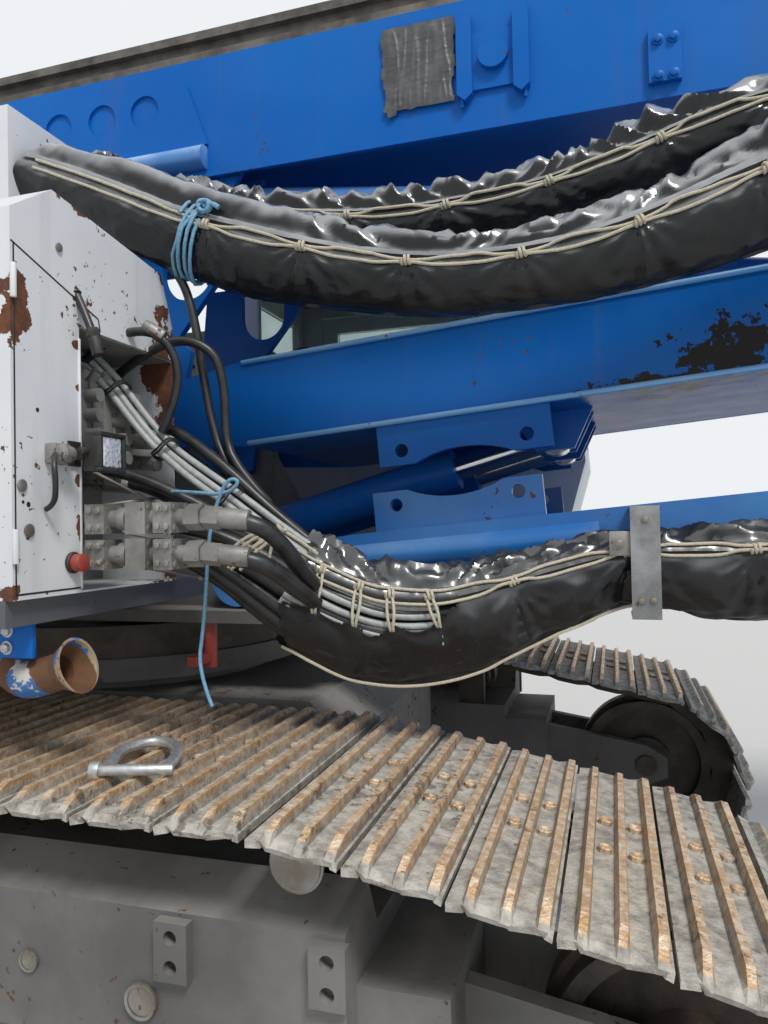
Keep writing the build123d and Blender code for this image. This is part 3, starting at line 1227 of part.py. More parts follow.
def soft_tube(points, radius, rear_x, front_x):
    """Round tube along straight runs joined by large arcs, cut off flat at both end plates."""
    bends = []
    for before, at, after in zip(points, points[1:], points[2:]):
        arriving = Vector(*at) - Vector(*before)
        leaving = Vector(*after) - Vector(*at)
        turn = radians(arriving.get_angle(leaving))
        bends.append(0.45 * min(arriving.length, leaving.length) / tan(turn / 2))
    path = FilletPolyline(*points, radius=bends)
    tube = sweep(Plane(path @ 0, z_dir=path % 0) * Circle(radius), path=path)
    print("smallest bend", round(min(bends)), "volume over section times length",
          round(tube.volume / (pi * radius**2 * path.length), 4))
    return tube & block(rear_x + SEAT_GAP, front_x - SEAT_GAP, -2000, 0, 1000, 3200)


def hose_bundle_upper():
    return soft_tube(UPPER_BUNDLE, BUNDLE_RADII["upper"], POST_FRONT_X, SADDLE_X)


def hose_bundle_mast():
    return soft_tube(MAST_BUNDLE, BUNDLE_RADII["mast"], POST_FRONT_X, SADDLE_X)


def hose_bundle_lower():
    return soft_tube(LOWER_BUNDLE, BUNDLE_RADII["lower"], PANEL_X, TERMINAL_X)


def hose_bracket():
    """Galvanised angle bent over and in front of the lower bundle, on the lower arm's side."""
    x0, x1 = 2000, 2070
    y0 = -800
    z0, z1 = 1344, 1626
    strap = block(x0, x1, y0, -ARM_HALF_WIDTH, z1 - 8, z1)
    strap += block(x0, x1, y0, y0 + 8, z0, z1)
    strap += block(x0, x1, y0, y0 + 130, z0, z0 + 8)
    return strap + block(x1 - 8, x1, y0, y0 + 35, z0, z1)


def hose_saddle():
    """Plate on the side of the upper arm where both upper bundles end in their fittings."""
    y0, y1 = -860, -ARM_HALF_WIDTH
    x, z = SADDLE_X, UPPER_ARM_PIVOT[1] + 170
    outline = [(y1, z), (y1, z + 190), (y1 - 20, SADDLE_Z[1] + 80), (y0 + 120, SADDLE_Z[1] + 80)]
    outline += [(y0, SADDLE_Z[0] + 80), (y0, SADDLE_Z[0] - 100), (y1 - 120, z + 60)]
    plate = plate_x(outline, x, x + END_PLATE)
    gusset = [(x + END_PLATE, y1), (x + 180, y1), (x + END_PLATE, y1 - 120)]
    return plate + plate_z(gusset, z + 120, z + 120 + END_PLATE)


def hose_terminal():
    """Plate on the side of the lower arm where the lower bundle ends in its fittings."""
    y0, y1 = -750, -ARM_HALF_WIDTH
    x, z = TERMINAL_X, TERMINAL_Z
    plate = block(x, x + END_PLATE, y0, y1, z - 95, z + 95)
    gusset = [(x + END_PLATE, y1), (x + 180, y1), (x + END_PLATE, y1 - 120)]
    return plate + plate_z(gusset, z, z + END_PLATE)


NODES = {
    "car_body": car_body,
    "side_frame_left": side_frame,
    "side_frame_right": lambda: other_side(side_frame()),
    "track_left": track,
    "track_right": lambda: other_side(track()),
    "front_idlers": lambda: both_sides(idler()),
    "drive_sprockets": lambda: both_sides(sprocket()),
    "track_rollers": lambda: both_sides(track_rollers()),
    "slew_ring_outer": slew_ring_outer,
    "slew_ring_inner": slew_ring_inner,
    "upper_frame": upper_frame,
    "side_decks": side_decks,
    "counterweight": counterweight,
    "engine_house": engine_house,
    "engine_block": engine_block,
    "house_door_left": house_door,
    "house_door_right": lambda: other_side(house_door()),
    "cooler_house": cooler_house,
    "hydraulic_tank": hydraulic_tank,
    "manifold_cabinet": manifold_cabinet,
    "manifold_panel": manifold_panel,
    "valve_block": valve_block,
    "flange_pipes": flange_pipes,
    "work_lamp": work_lamp,
    "stub_pipe": stub_pipe,
    "slew_lock_lever": slew_lock_lever,
    "mast_cradle": mast_cradle,
    "cab_shell": cab_shell,
    "cab_glass": cab_glass,
    "cab_door": cab_door,
    "cab_door_glass": cab_door_glass,
    "operator_station": operator_station,
    "exhaust": exhaust,
    "handrails": handrails,
    "winch_frames": winch_frames,
    "main_winch_drum": lambda: winch_drum("main"),
    "aux_winch_drum": lambda: winch_drum("aux"),
    "lower_arm": lower_arm,
    "upper_arm": upper_arm,
    "mast_carrier": mast_carrier,
    "luff_barrels": luff_barrels,
    "luff_rods": luff_rods,
    "tilt_barrels": tilt_barrels,
    "tilt_rods": tilt_rods,
    "mast_body": mast_body,
    "mast_rails": mast_rails,
    "mast_foot": mast_foot,
    "mast_head": mast_head,
    "front_sheaves": lambda: sheave("front"),
    "rear_sheaves": lambda: sheave("rear"),
    "crowd_barrel": crowd_barrel,
    "crowd_rod": crowd_rod,
    "rotary_carriage": rotary_carriage,
    "rotary_gearbox": rotary_gearbox,
    "drive_sleeve": drive_sleeve,
    "hose_bundle_upper": hose_bundle_upper,
    "hose_bundle_mast": hose_bundle_mast,
    "hose_bundle_lower": hose_bundle_lower,
    "hose_bracket": hose_bracket,
}


def main():
    os.makedirs("parts", exist_ok=True)
    for name, make in NODES.items():
        shape = Pos(ROW_SHIFT_X, 0, 0) * make()
        shape.label = name
        export_step(shape, f"parts/{name}.step")


if __name__ == "__main__":
    main()
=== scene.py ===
# %% [markdown]
# The rotary drilling rig, dressed for the camera. This lesson adds what a painter, a hose
# fitter and a few years of mud would add: paint with chips, sleeves of vinyl round the hoses,
# lacing, cables, bolts, welds, a lamp, locks and glass.

import math
from contextlib import contextmanager
from types import SimpleNamespace
import bpy
import numpy as np
from mathutils import Matrix, Vector, noise
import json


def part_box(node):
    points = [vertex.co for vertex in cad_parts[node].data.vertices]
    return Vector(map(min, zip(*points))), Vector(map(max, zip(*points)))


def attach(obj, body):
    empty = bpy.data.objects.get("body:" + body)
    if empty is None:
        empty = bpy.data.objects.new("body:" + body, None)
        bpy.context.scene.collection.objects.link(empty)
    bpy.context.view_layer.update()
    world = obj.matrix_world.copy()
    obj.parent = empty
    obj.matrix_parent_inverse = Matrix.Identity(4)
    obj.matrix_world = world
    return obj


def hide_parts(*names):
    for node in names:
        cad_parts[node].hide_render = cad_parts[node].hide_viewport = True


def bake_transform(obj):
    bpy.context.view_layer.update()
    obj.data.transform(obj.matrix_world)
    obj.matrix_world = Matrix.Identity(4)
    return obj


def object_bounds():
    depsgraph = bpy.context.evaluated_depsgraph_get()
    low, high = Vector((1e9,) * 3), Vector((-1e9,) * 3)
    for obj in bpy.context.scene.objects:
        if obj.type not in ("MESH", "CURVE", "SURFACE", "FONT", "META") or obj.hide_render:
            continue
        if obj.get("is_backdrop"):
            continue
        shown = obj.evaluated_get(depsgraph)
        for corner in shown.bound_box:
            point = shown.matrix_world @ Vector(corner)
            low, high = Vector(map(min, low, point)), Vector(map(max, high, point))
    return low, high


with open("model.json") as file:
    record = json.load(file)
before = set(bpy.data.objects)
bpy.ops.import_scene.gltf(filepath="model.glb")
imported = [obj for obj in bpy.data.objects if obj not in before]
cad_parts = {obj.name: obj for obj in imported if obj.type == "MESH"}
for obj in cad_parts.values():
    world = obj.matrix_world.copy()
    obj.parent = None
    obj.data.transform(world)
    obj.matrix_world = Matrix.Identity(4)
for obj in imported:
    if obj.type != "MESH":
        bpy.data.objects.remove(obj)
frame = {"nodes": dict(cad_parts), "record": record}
cad_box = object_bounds()
scene = bpy.context.scene
scene.view_settings.view_transform = "Standard"
# the machine was drawn about its own slewing axis, which stands here in the frame
SLEW_X = 0.9


def at(x, y, z):
    """A point given from the slewing axis and the ground, in the frame."""
    return Vector((x + SLEW_X, y, z))


# %% [markdown]
# The camera stands beside the right track, at the height of a person's eyes, and looks across
# the machine at its hoses and the mast. A camera can be aimed with a constraint, but its three
# measured directions, put straight into its matrix, also keep the small roll of a hand-held
# picture.

# %% The camera
LENS_PIXELS = 753
PICTURE_HEIGHT = 1024
SENSOR = 36
camera_data = bpy.data.cameras.new("hose_side_camera")
camera_data.sensor_width = SENSOR
camera_data.sensor_fit = "AUTO"
camera_data.lens = LENS_PIXELS / PICTURE_HEIGHT * SENSOR
camera_data.clip_start = 0.05
camera_data.clip_end = 200
camera = bpy.data.objects.new("hose_side_camera", camera_data)
scene.collection.objects.link(camera)
forward = Vector((-0.291, 0.957, 0.020)).normalized()
up = Vector((0.024, -0.014, 1.0)).normalized()
right = forward.cross(up).normalized()
up = right.cross(forward).normalized()
turn = Matrix((right, up, -forward)).transposed().to_4x4()
camera.matrix_world = Matrix.Translation(at(1.96, -2.77, 1.585)) @ turn
scene.camera = camera
print("lens", round(camera_data.lens, 2))

# %% [markdown]
# Sky and materials are trees of nodes, and a node made by hand takes five lines. So one function
# feeds an input with a number, a colour or another node's output, and one makes a node with its
# settings and inputs. Sums and products get short names, so that a mask reads like a formula. Each
# finds its tree from a socket that it is given.

# %% Node helpers


def feed(node, socket, value):
    """Gives an input a number, a colour, a vector or the output of another node."""
    if isinstance(value, bpy.types.NodeSocket):
        node.id_data.links.new(value, node.inputs[socket])
    elif node.inputs[socket].type == "RGBA":
        node.inputs[socket].default_value = (*value, 1)
    else:
        node.inputs[socket].default_value = value


def add_node(place, kind, feeds=(), **settings):
    """A new node with its settings made and its inputs fed; place is a tree or a socket in it."""
    node = place.id_data.nodes.new("ShaderNode" + kind)
    for label, value in settings.items():
        setattr(node, label, value)
    for socket, value in dict(feeds).items():
        feed(node, socket, value)
    return node


def math_node(operation, a, b=0.0, clamp=False):
    place = a if isinstance(a, bpy.types.NodeSocket) else b
    return add_node(place, "Math", {0: a, 1: b}, operation=operation, use_clamp=clamp).outputs[0]


def plus(a, b, clamp=False):
    return math_node("ADD", a, b, clamp)


def minus(a, b, clamp=False):
    return math_node("SUBTRACT", a, b, clamp)


def times(a, b, clamp=False):
    return math_node("MULTIPLY", a, b, clamp)


def larger(a, b):
    return math_node("MAXIMUM", a, b)


def noise_node(vector, scale, detail=4.0, roughness=0.55):
    feeds = {"Vector": vector, "Scale": scale, "Detail": detail, "Roughness": roughness}
    return add_node(vector, "TexNoise", feeds).outputs["Fac"]


def step_node(value, low, high, to_low=0.0, to_high=1.0):
    """A smooth step of value from low to high."""
    feeds = {"Value": value, "From Min": low, "From Max": high, "To Min": to_low, "To Max": to_high}
    return add_node(value, "MapRange", feeds, interpolation_type="SMOOTHSTEP").outputs["Result"]


def stretched(vector, scale):
    return add_node(vector, "Mapping", {"Vector": vector, "Scale": scale}).outputs["Vector"]


def part_of(vector, axis):
    return add_node(vector, "SeparateXYZ", {0: vector}).outputs[axis]


def facing(place, axis):
    """How far the surface faces along an axis, from -1 to 1."""
    return part_of(add_node(place, "NewGeometry").outputs["Normal"], axis)


print("node helpers ready")

# %% [markdown]
# The yard is replaced by a plain pale floor under an even sky. A strong lamp would burn out the
# white cabinet, so most of the light comes from the world, and one wide sun from high behind the
# camera's right shoulder gives the tubes and the folds of the vinyl their form. The sky that the
# camera and shiny steel see is set by Light Path, which leaves the light on the machine as it is.

# %% Floor and light
bpy.ops.object.select_all(action="DESELECT")
bpy.ops.mesh.primitive_plane_add(size=60, location=(0, 0, 0))
floor = bpy.context.object
floor.name = "yard_floor"
floor_paint = bpy.data.materials.new("pale_floor")
floor_paint.use_nodes = True
floor_shader = floor_paint.node_tree.nodes["Principled BSDF"]
feed(floor_shader, "Base Color", (0.62, 0.61, 0.59))
feed(floor_shader, "Roughness", 0.9)
floor.data.materials.append(floor_paint)
floor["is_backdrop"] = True

world = bpy.data.worlds.new("even_sky")
scene.world = world
world.use_nodes = True
sky = world.node_tree
sky.nodes.clear()
sky_light = add_node(sky, "Background", {"Color": (0.86, 0.93, 1.0), "Strength": 0.62})
sky_seen = add_node(sky, "Background", {"Color": (0.90, 0.93, 0.96), "Strength": 0.95})
rays = add_node(sky, "LightPath").outputs
seen = larger(larger(rays["Is Camera Ray"], rays["Is Glossy Ray"]), rays["Is Transmission Ray"])
mixed_sky = add_node(sky, "MixShader", {0: seen, 1: sky_light.outputs[0], 2: sky_seen.outputs[0]})
add_node(sky, "OutputWorld", {"Surface": mixed_sky.outputs[0]})

sun_data = bpy.data.lights.new("high_sun", "SUN")
sun_data.energy = 2.1
sun_data.angle = math.radians(14)
sun_data.color = (1.0, 0.97, 0.92)
sun = bpy.data.objects.new("high_sun", sun_data)
scene.collection.objects.link(sun)
sun.rotation_euler = Vector((0.52, -0.62, 1.0)).to_track_quat("Z", "Y").to_euler()
print("floor, sky and one sun")

# %% [markdown]
# Weathered paint is a few effects laid over one another: patchy colour, chips down to rust, streaks that run down
# from edges, and dust that settles on what faces up, which on a few paints is a pale painted highlight instead.
# Painting images would do, but each effect is small enough to be a node group that reads Object coordinates, so it
# keeps its scale on every part. The groups only give masks and heights, and each material mixes them with its own
# colours.

# %% The shared effects


def new_group(name, output, **inputs):
    """A node group that takes a vector and the inputs named: its tree, what it is given, its end."""
    tree = bpy.data.node_groups.new(name, "ShaderNodeTree")
    for label, value in {"Vector": (0, 0, 0), **inputs}.items():
        kind = "NodeSocketVector" if isinstance(value, tuple) else "NodeSocketFloat"
        socket = tree.interface.new_socket(label.replace("_", " "), in_out="INPUT", socket_type=kind)
        socket.default_value = value
    tree.interface.new_socket(output, in_out="OUTPUT", socket_type="NodeSocketFloat")
    return tree, tree.nodes.new("NodeGroupInput").outputs, tree.nodes.new("NodeGroupOutput")


# chips: small sharp spots and a few larger torn patches
chips, given, end = new_group("paint_chips", "Mask", Scale=1.0, Amount=0.3)
fine = noise_node(given["Vector"], times(given["Scale"], 34.0), 5.0, 0.6)
broad = noise_node(given["Vector"], times(given["Scale"], 3.1), 3.0)
both = plus(times(fine, 0.62), times(broad, 0.38))
edge = minus(0.70, times(given["Amount"], 0.16))
feed(end, "Mask", step_node(both, edge, plus(edge, 0.012)))

# dust, which some paints use as a painted top highlight: thick where the surface faces up, thin where it faces
# down, broken by noise
dust_and_sheen_tree, given, end = new_group("settled_dust_and_sheen", "Mask", Scale=1.0, Amount=0.3)
faces_up = step_node(facing(dust_and_sheen_tree, "Z"), -0.2, 1.0, 0.22, 1.0)
cloudy = noise_node(given["Vector"], times(given["Scale"], 2.3), 6.0, 0.62)
settled = times(faces_up, step_node(cloudy, 0.36, 0.66, 0.25, 1.0))
feed(end, "Mask", times(settled, given["Amount"], True))

# streaks: noise drawn out downwards, as rain leaves it
streaks, given, end = new_group("rain_streaks", "Mask", Amount=0.3)
run = noise_node(stretched(given["Vector"], (14, 14, 0.9)), 1.0, 3.0)
feed(end, "Mask", times(step_node(run, 0.52, 0.75), given["Amount"], True))

# orange peel and dents: the height of old brushed paint
peel, given, end = new_group("old_paint_height", "Height", Dents=0.4)
skin = noise_node(given["Vector"], 160.0, 2.0)
dents = noise_node(given["Vector"], 4.0, 2.0)
feed(end, "Height", plus(times(skin, 0.05), times(dents, given["Dents"])))

# a ragged patch in one place: where paint has come off a corner
patch, given, end = new_group("torn_patch", "Mask", Centre=(0, 0, 0), Half_Size=(0.1, 0.1, 0.1), Ragged=0.3)
away = add_node(patch, "VectorMath", {0: given["Vector"], 1: given["Centre"]}, operation="SUBTRACT")
sized = add_node(patch, "VectorMath", {0: away.outputs[0], 1: given["Half Size"]}, operation="DIVIDE")
reach = add_node(patch, "VectorMath", {0: sized.outputs[0]}, operation="LENGTH").outputs["Value"]
tear = noise_node(given["Vector"], 16.0, 6.0, 0.65)
frayed = times(minus(tear, 0.5), times(given["Ragged"], 6.0))
feed(end, "Mask", step_node(plus(reach, frayed), 1.0, 0.97))
print("effect groups", [group.name for group in bpy.data.node_groups])

# %% [markdown]
# Now the finishes themselves. The machine wears four paints: a strong mid blue on the mast, arms and cylinders,
# white on the housings, beige on the cooler and the carriage, and a dark frame paint that hardly shows for dust.
# They are one recipe with different numbers, so one function mixes it: colour, cloudy wear, streaks, dust (a
# painted top highlight on a few paints), then chips that show primer and rust.

# %% The weathered paint


def set_up_material(name):
    """A new material: itself, its shader and the Object coordinates."""
    material = bpy.data.materials.new(name)
    material.use_nodes = True
    tree = material.node_tree
    return material, tree.nodes["Principled BSDF"], add_node(tree, "TexCoord").outputs["Object"]


def effect(group, vector, **values):
    """Places a shared effect in a material and gives its output."""
    node = add_node(vector, "Group", node_tree=bpy.data.node_groups[group])
    feed(node, "Vector", vector)
    for label, value in values.items():
        feed(node, label.replace("_", " "), value)
    return node.outputs[0]


def layer(below, above, mask):
    """One colour over another through a mask."""
    return add_node(mask, "Mix", {6: below, 7: above, 0: mask}, data_type="RGBA").outputs[2]


def bump(shader, height, distance, strength=1.0):
    feeds = {"Distance": distance, "Strength": strength, "Height": height}
    feed(shader, "Normal", add_node(shader, "Bump", feeds).outputs["Normal"])


RUST = (0.105, 0.040, 0.018)
RUST_BRIGHT = (0.27, 0.095, 0.028)
DUST_COLOUR = (0.30, 0.245, 0.185)


def weathered_paint(name, colour, dull, dusty, chipped, streaked, rough=0.42, coat=0.25, dents=0.3, patches=(),
                    dust_and_sheen_colour=DUST_COLOUR, chip_colour=RUST, chip_scale=1.0, specular=0.5, stains=()):
    """Old paint: colour fades to dull in clouds, then streaks, dust and chips lie over it; on a few paints the dust
    layer is a painted top highlight.
    """
    material, shader, where = set_up_material(name)
    clouds = step_node(noise_node(where, 1.7, 6.0, 0.6), 0.35, 0.7)
    tone = layer(colour, dull, clouds)
    run_off = tuple(c * 0.55 + d * 0.2 for c, d in zip(colour, dust_and_sheen_colour))
    tone = layer(tone, run_off, effect("rain_streaks", where, Amount=streaked))
    # dust on what faces up; on the rolled edge, the arm rims and the tubes this layer is a painted highlight
    dust_and_sheen_mask = effect("settled_dust_and_sheen", where, Amount=dusty, Scale=1.0)
    tone = layer(tone, dust_and_sheen_colour, dust_and_sheen_mask)
    for centre, half, ragged, stain_colour in stains:
        stained = effect("torn_patch", where, Centre=centre, Half_Size=half, Ragged=ragged)
        tone = layer(tone, stain_colour, stained)
    chip = effect("paint_chips", where, Amount=chipped, Scale=chip_scale)
    for centre, half, ragged in patches:
        torn = effect("torn_patch", where, Centre=centre, Half_Size=half, Ragged=ragged)
        chip = larger(chip, torn)
    rust_noise = step_node(noise_node(where, 45.0, 5.0, 0.65), 0.4, 0.68)
    rust = layer(chip_colour, RUST_BRIGHT, times(rust_noise, 0.45))
    feed(shader, "Base Color", layer(tone, rust, chip))
    flat_parts = larger(dust_and_sheen_mask, chip)
    gloss = plus(times(noise_node(where, 9.0, 4.0), 0.22), rough - 0.11)
    feed(shader, "Roughness", plus(gloss, times(flat_parts, 0.38), True))
    feed(shader, "Coat Roughness", 0.22)
    feed(shader, "Specular IOR Level", specular)
    feed(shader, "Coat Weight", times(minus(1.0, flat_parts, True), coat))
    height = effect("old_paint_height", where, Dents=dents)
    bump(shader, minus(height, times(chip, 0.10)), 0.004)
    return material


paints = {}
paints["blue_paint"] = weathered_paint(
    "blue_gloss_weathered", (0.0012, 0.122, 0.490), (0.004, 0.145, 0.530), 0.10, 0.30, 0.26, rough=0.36, coat=0.05,
    specular=0.14)
paints["white_paint"] = weathered_paint(
    "white_paint_speckled", (0.80, 0.82, 0.84), (0.71, 0.73, 0.76), 0.13, 0.40, 0.30, rough=0.44, coat=0.15,
    chip_scale=1.6)
paints["beige_paint"] = weathered_paint(
    "beige_paint_aged", (0.52, 0.47, 0.35), (0.44, 0.39, 0.29), 0.30, 0.34, 0.35, rough=0.55, coat=0.05)
paints["frame_paint"] = weathered_paint(
    "frame_paint_dusty", (0.092, 0.089, 0.088), (0.215, 0.205, 0.196), 0.80, 0.55, 1.0, rough=0.60, coat=0.0,
    dust_and_sheen_colour=(0.330, 0.308, 0.285), chip_colour=(0.10, 0.060, 0.038))
paints["red_paint"] = weathered_paint(
    "red_paint_worn", (0.36, 0.022, 0.014), (0.30, 0.05, 0.03), 0.35, 0.55, 0.2, rough=0.45, coat=0.2)
paints["valve_grey"] = weathered_paint(
    "valve_grey_dusty", (0.18, 0.18, 0.175), (0.28, 0.27, 0.25), 0.55, 0.40, 0.35, rough=0.55, coat=0.05,
    dust_and_sheen_colour=(0.34, 0.31, 0.26))
print("paints", sorted(paints))

# %% [markdown]
# Bare metal comes in several states here: cast rollers black with grease, zinc brackets with
# spangle, chromed rods that mirror the sky, guide rails under a film of old grease, and brass
# fittings so dusty that they look like stone. They share the way of the paints, with Metallic
# up and colour from the metal, and what lies on the metal takes the Metallic down again.

# %% The metals


def bare_metal(name, colour, other, rough, metallic, dusty, spotted, scale=8.0, dust_and_sheen_colour=DUST_COLOUR,
               spot_colour=RUST, grain=0.3):
    """Metal: two tones in clouds, spots of rust or grease, dust above."""
    material, shader, where = set_up_material(name)
    clouds = step_node(noise_node(where, scale, 6.0, 0.62), 0.35, 0.66)
    spots = effect("paint_chips", where, Amount=spotted, Scale=1.3)
    tone = layer(layer(colour, other, clouds), spot_colour, spots)
    dust_and_sheen_mask = effect("settled_dust_and_sheen", where, Amount=dusty, Scale=1.6)
    feed(shader, "Base Color", layer(tone, dust_and_sheen_colour, dust_and_sheen_mask))
    dull = larger(dust_and_sheen_mask, spots)
    feed(shader, "Metallic", times(minus(1.0, dull, True), metallic))
    gloss = plus(times(noise_node(where, scale * 3, 4.0), 0.24), rough - 0.12)
    feed(shader, "Roughness", plus(gloss, times(dull, 0.35), True))
    bump(shader, noise_node(where, 120.0, 4.0, 0.7), 0.0015, grain)
    return material


paints["dark_steel"] = bare_metal(
    "cast_steel_greasy", (0.030, 0.027, 0.024), (0.085, 0.065, 0.048), 0.5, 0.35, 0.55, 0.45,
    dust_and_sheen_colour=(0.16, 0.13, 0.10), grain=0.8)
paints["galvanised"] = bare_metal(
    "zinc_spangled", (0.46, 0.48, 0.50), (0.60, 0.62, 0.64), 0.42, 0.75, 0.18, 0.16, scale=42.0,
    spot_colour=(0.22, 0.19, 0.16))
paints["dull_zinc"] = bare_metal(
    "zinc_dull_stained", (0.20, 0.205, 0.215), (0.36, 0.37, 0.38), 0.48, 0.65, 0.22, 0.45, scale=9.0,
    spot_colour=(0.13, 0.085, 0.055), grain=0.5)
paints["chrome_rod"] = bare_metal(
    "chrome_rod_bright", (0.70, 0.71, 0.73), (0.62, 0.63, 0.66), 0.16, 1.0, 0.05, 0.02, grain=0.02)
paints["rail_steel"] = bare_metal(
    "rail_steel_greased", (0.050, 0.045, 0.040), (0.16, 0.145, 0.13), 0.45, 0.5, 0.55, 0.3,
    dust_and_sheen_colour=(0.30, 0.27, 0.23), grain=0.5)
paints["pipe_brass"] = bare_metal(
    "fitting_brass_dusty", (0.20, 0.195, 0.180), (0.36, 0.35, 0.33), 0.46, 0.50, 0.36, 0.85,
    dust_and_sheen_colour=(0.40, 0.385, 0.355), spot_colour=(0.085, 0.060, 0.042), grain=0.6)
paints["bright_steel"] = bare_metal(
    "zinc_bolt_dull", (0.36, 0.35, 0.33), (0.22, 0.19, 0.16), 0.45, 0.7, 0.3, 0.3, grain=0.3)
print("metals", sorted(paints))

# %% [markdown]
# Track shoes are polished orange-brown on the crests, where they bite the ground, and grey with
# dried mud in the valleys. The wear follows how far a point stands out from the belt, so the
# material works out that height itself: the belt is a taut loop over round wheels, which is the
# largest of the heights over its straight runs and its two round ends.

# %% The track shoes
# x, z and radius of the belt's two round ends, and x and z of the corners of its upper run
IDLER = (2.08, 0.47, 0.42)
SPROCKET = (-2.05, 0.56, 0.455)
BELT_TOP = ((-2.05, 1.015), (-0.75, 1.062), (1.29, 1.045), (2.08, 0.890))
FAR_INSIDE = 9

material, shader, where = set_up_material("track_shoes_worn")
shoe_x, shoe_z = part_of(where, "X"), part_of(where, "Z")
over_belt = minus(0.0, shoe_z)
for (x0, z0), (x1, z1) in zip(BELT_TOP, BELT_TOP[1:]):
    run_length = math.hypot(x1 - x0, z1 - z0)
    normal_x, normal_z = (z0 - z1) / run_length, (x1 - x0) / run_length
    here = plus(times(shoe_x, normal_x), times(shoe_z, normal_z))
    offset = normal_x * (x0 + SLEW_X) + normal_z * z0
    over_belt = larger(over_belt, minus(here, offset))
for (wheel_x, wheel_z, wheel_r), way in ((IDLER, 1), (SPROCKET, -1)):
    from_x = times(minus(shoe_x, wheel_x + SLEW_X), way)
    from_z = minus(shoe_z, wheel_z)
    ahead = larger(from_x, 0.0)
    far = math_node("SQRT", plus(times(ahead, ahead), times(from_z, from_z)))
    behind = minus(1.0, math_node("GREATER_THAN", from_x, 0.0))
    past = minus(minus(far, wheel_r), times(behind, FAR_INSIDE))
    over_belt = larger(over_belt, past)
mud_noise = noise_node(where, 26.0, 6.0, 0.66)
height_here = plus(over_belt, times(minus(mud_noise, 0.5), 0.016))
crest = step_node(height_here, -0.0190, -0.0100)
steel_clouds = step_node(noise_node(where, 38.0, 5.0, 0.7), 0.38, 0.66)
mud = layer((0.270, 0.245, 0.215), (0.60, 0.565, 0.500), step_node(mud_noise, 0.28, 0.66))
worn = layer((0.64, 0.390, 0.200), (0.88, 0.71, 0.52), steel_clouds)
blotches = effect("paint_chips", where, Amount=0.7, Scale=1.0)
tone = layer(layer(mud, worn, crest), (0.075, 0.050, 0.034), times(blotches, 0.6))
# steep grouser flanks are darkened: painted shade
steep_flank_shade = step_node(math_node("ABSOLUTE", facing(where, "X")), 0.35, 0.85)
feed(shader, "Base Color", layer(tone, (0.050, 0.036, 0.026), times(steep_flank_shade, 0.34)))
feed(shader, "Metallic", times(crest, 0.35))
feed(shader, "Roughness", step_node(crest, 0, 1, 0.82, 0.48))
bump(shader, plus(mud_noise, times(noise_node(where, 110.0, 4.0), 0.4)), 0.012, 0.8)
paints["track_steel"] = material
print("track shoes: worn crests over", len(BELT_TOP) - 1, "runs and 2 ends")

# %% [markdown]
# What is left is soft or clear: tinted glass, black plastic, seat cloth with a weave, rubber
# and rope. Glass keeps a plain transmission so that the cab's inside shows.

# %% Glass, plastics, cloth and rubber


def plain_finish(name, colour, other, rough, scale=60.0, height=0.0006, dusty=0.15, spots=0.0):
    """Plastic, rubber or rope: two close tones, a fine grain and some dust."""
    material, shader, where = set_up_material(name)
    grain = noise_node(where, scale, 5.0, 0.6)
    tone = layer(colour, other, step_node(grain, 0.35, 0.65))
    tone = layer(tone, DUST_COLOUR, effect("settled_dust_and_sheen", where, Amount=dusty, Scale=2.0))
    if spots:
        stained = effect("paint_chips", where, Amount=spots, Scale=1.4)
        tone = layer(tone, tuple(0.35 * c for c in colour), stained)
    feed(shader, "Base Color", tone)
    feed(shader, "Roughness", plus(times(grain, 0.2), rough - 0.1, True))
    bump(shader, grain, height)
    return material


material, shader, where = set_up_material("tinted_cab_glass")
smear = noise_node(where, 3.0, 6.0, 0.7)
tint = layer((0.50, 0.60, 0.60), (0.64, 0.68, 0.66), step_node(smear, 0.3, 0.7))
feed(shader, "Base Color", tint)
feed(shader, "Roughness", step_node(smear, 0.45, 0.8, 0.02, 0.16))
feed(shader, "Transmission Weight", 1.0)
feed(shader, "IOR", 1.1)
paints["window_glass"] = material

material, shader, where = set_up_material("seat_cloth_woven")
threads = add_node(where, "TexWave", {"Scale": 190.0, "Vector": where})
across = add_node(where, "TexWave", {"Scale": 190.0, "Vector": where}, bands_direction="Z")
weave = times(threads.outputs["Fac"], across.outputs["Fac"])
worn_seat = noise_node(where, 7.0, 5.0)
cloth = layer((0.018, 0.019, 0.022), (0.060, 0.060, 0.062), times(weave, worn_seat))
feed(shader, "Base Color", cloth)
feed(shader, "Roughness", step_node(worn_seat, 0.3, 0.7, 0.95, 0.75))
bump(shader, weave, 0.0008)
paints["seat_cloth"] = material

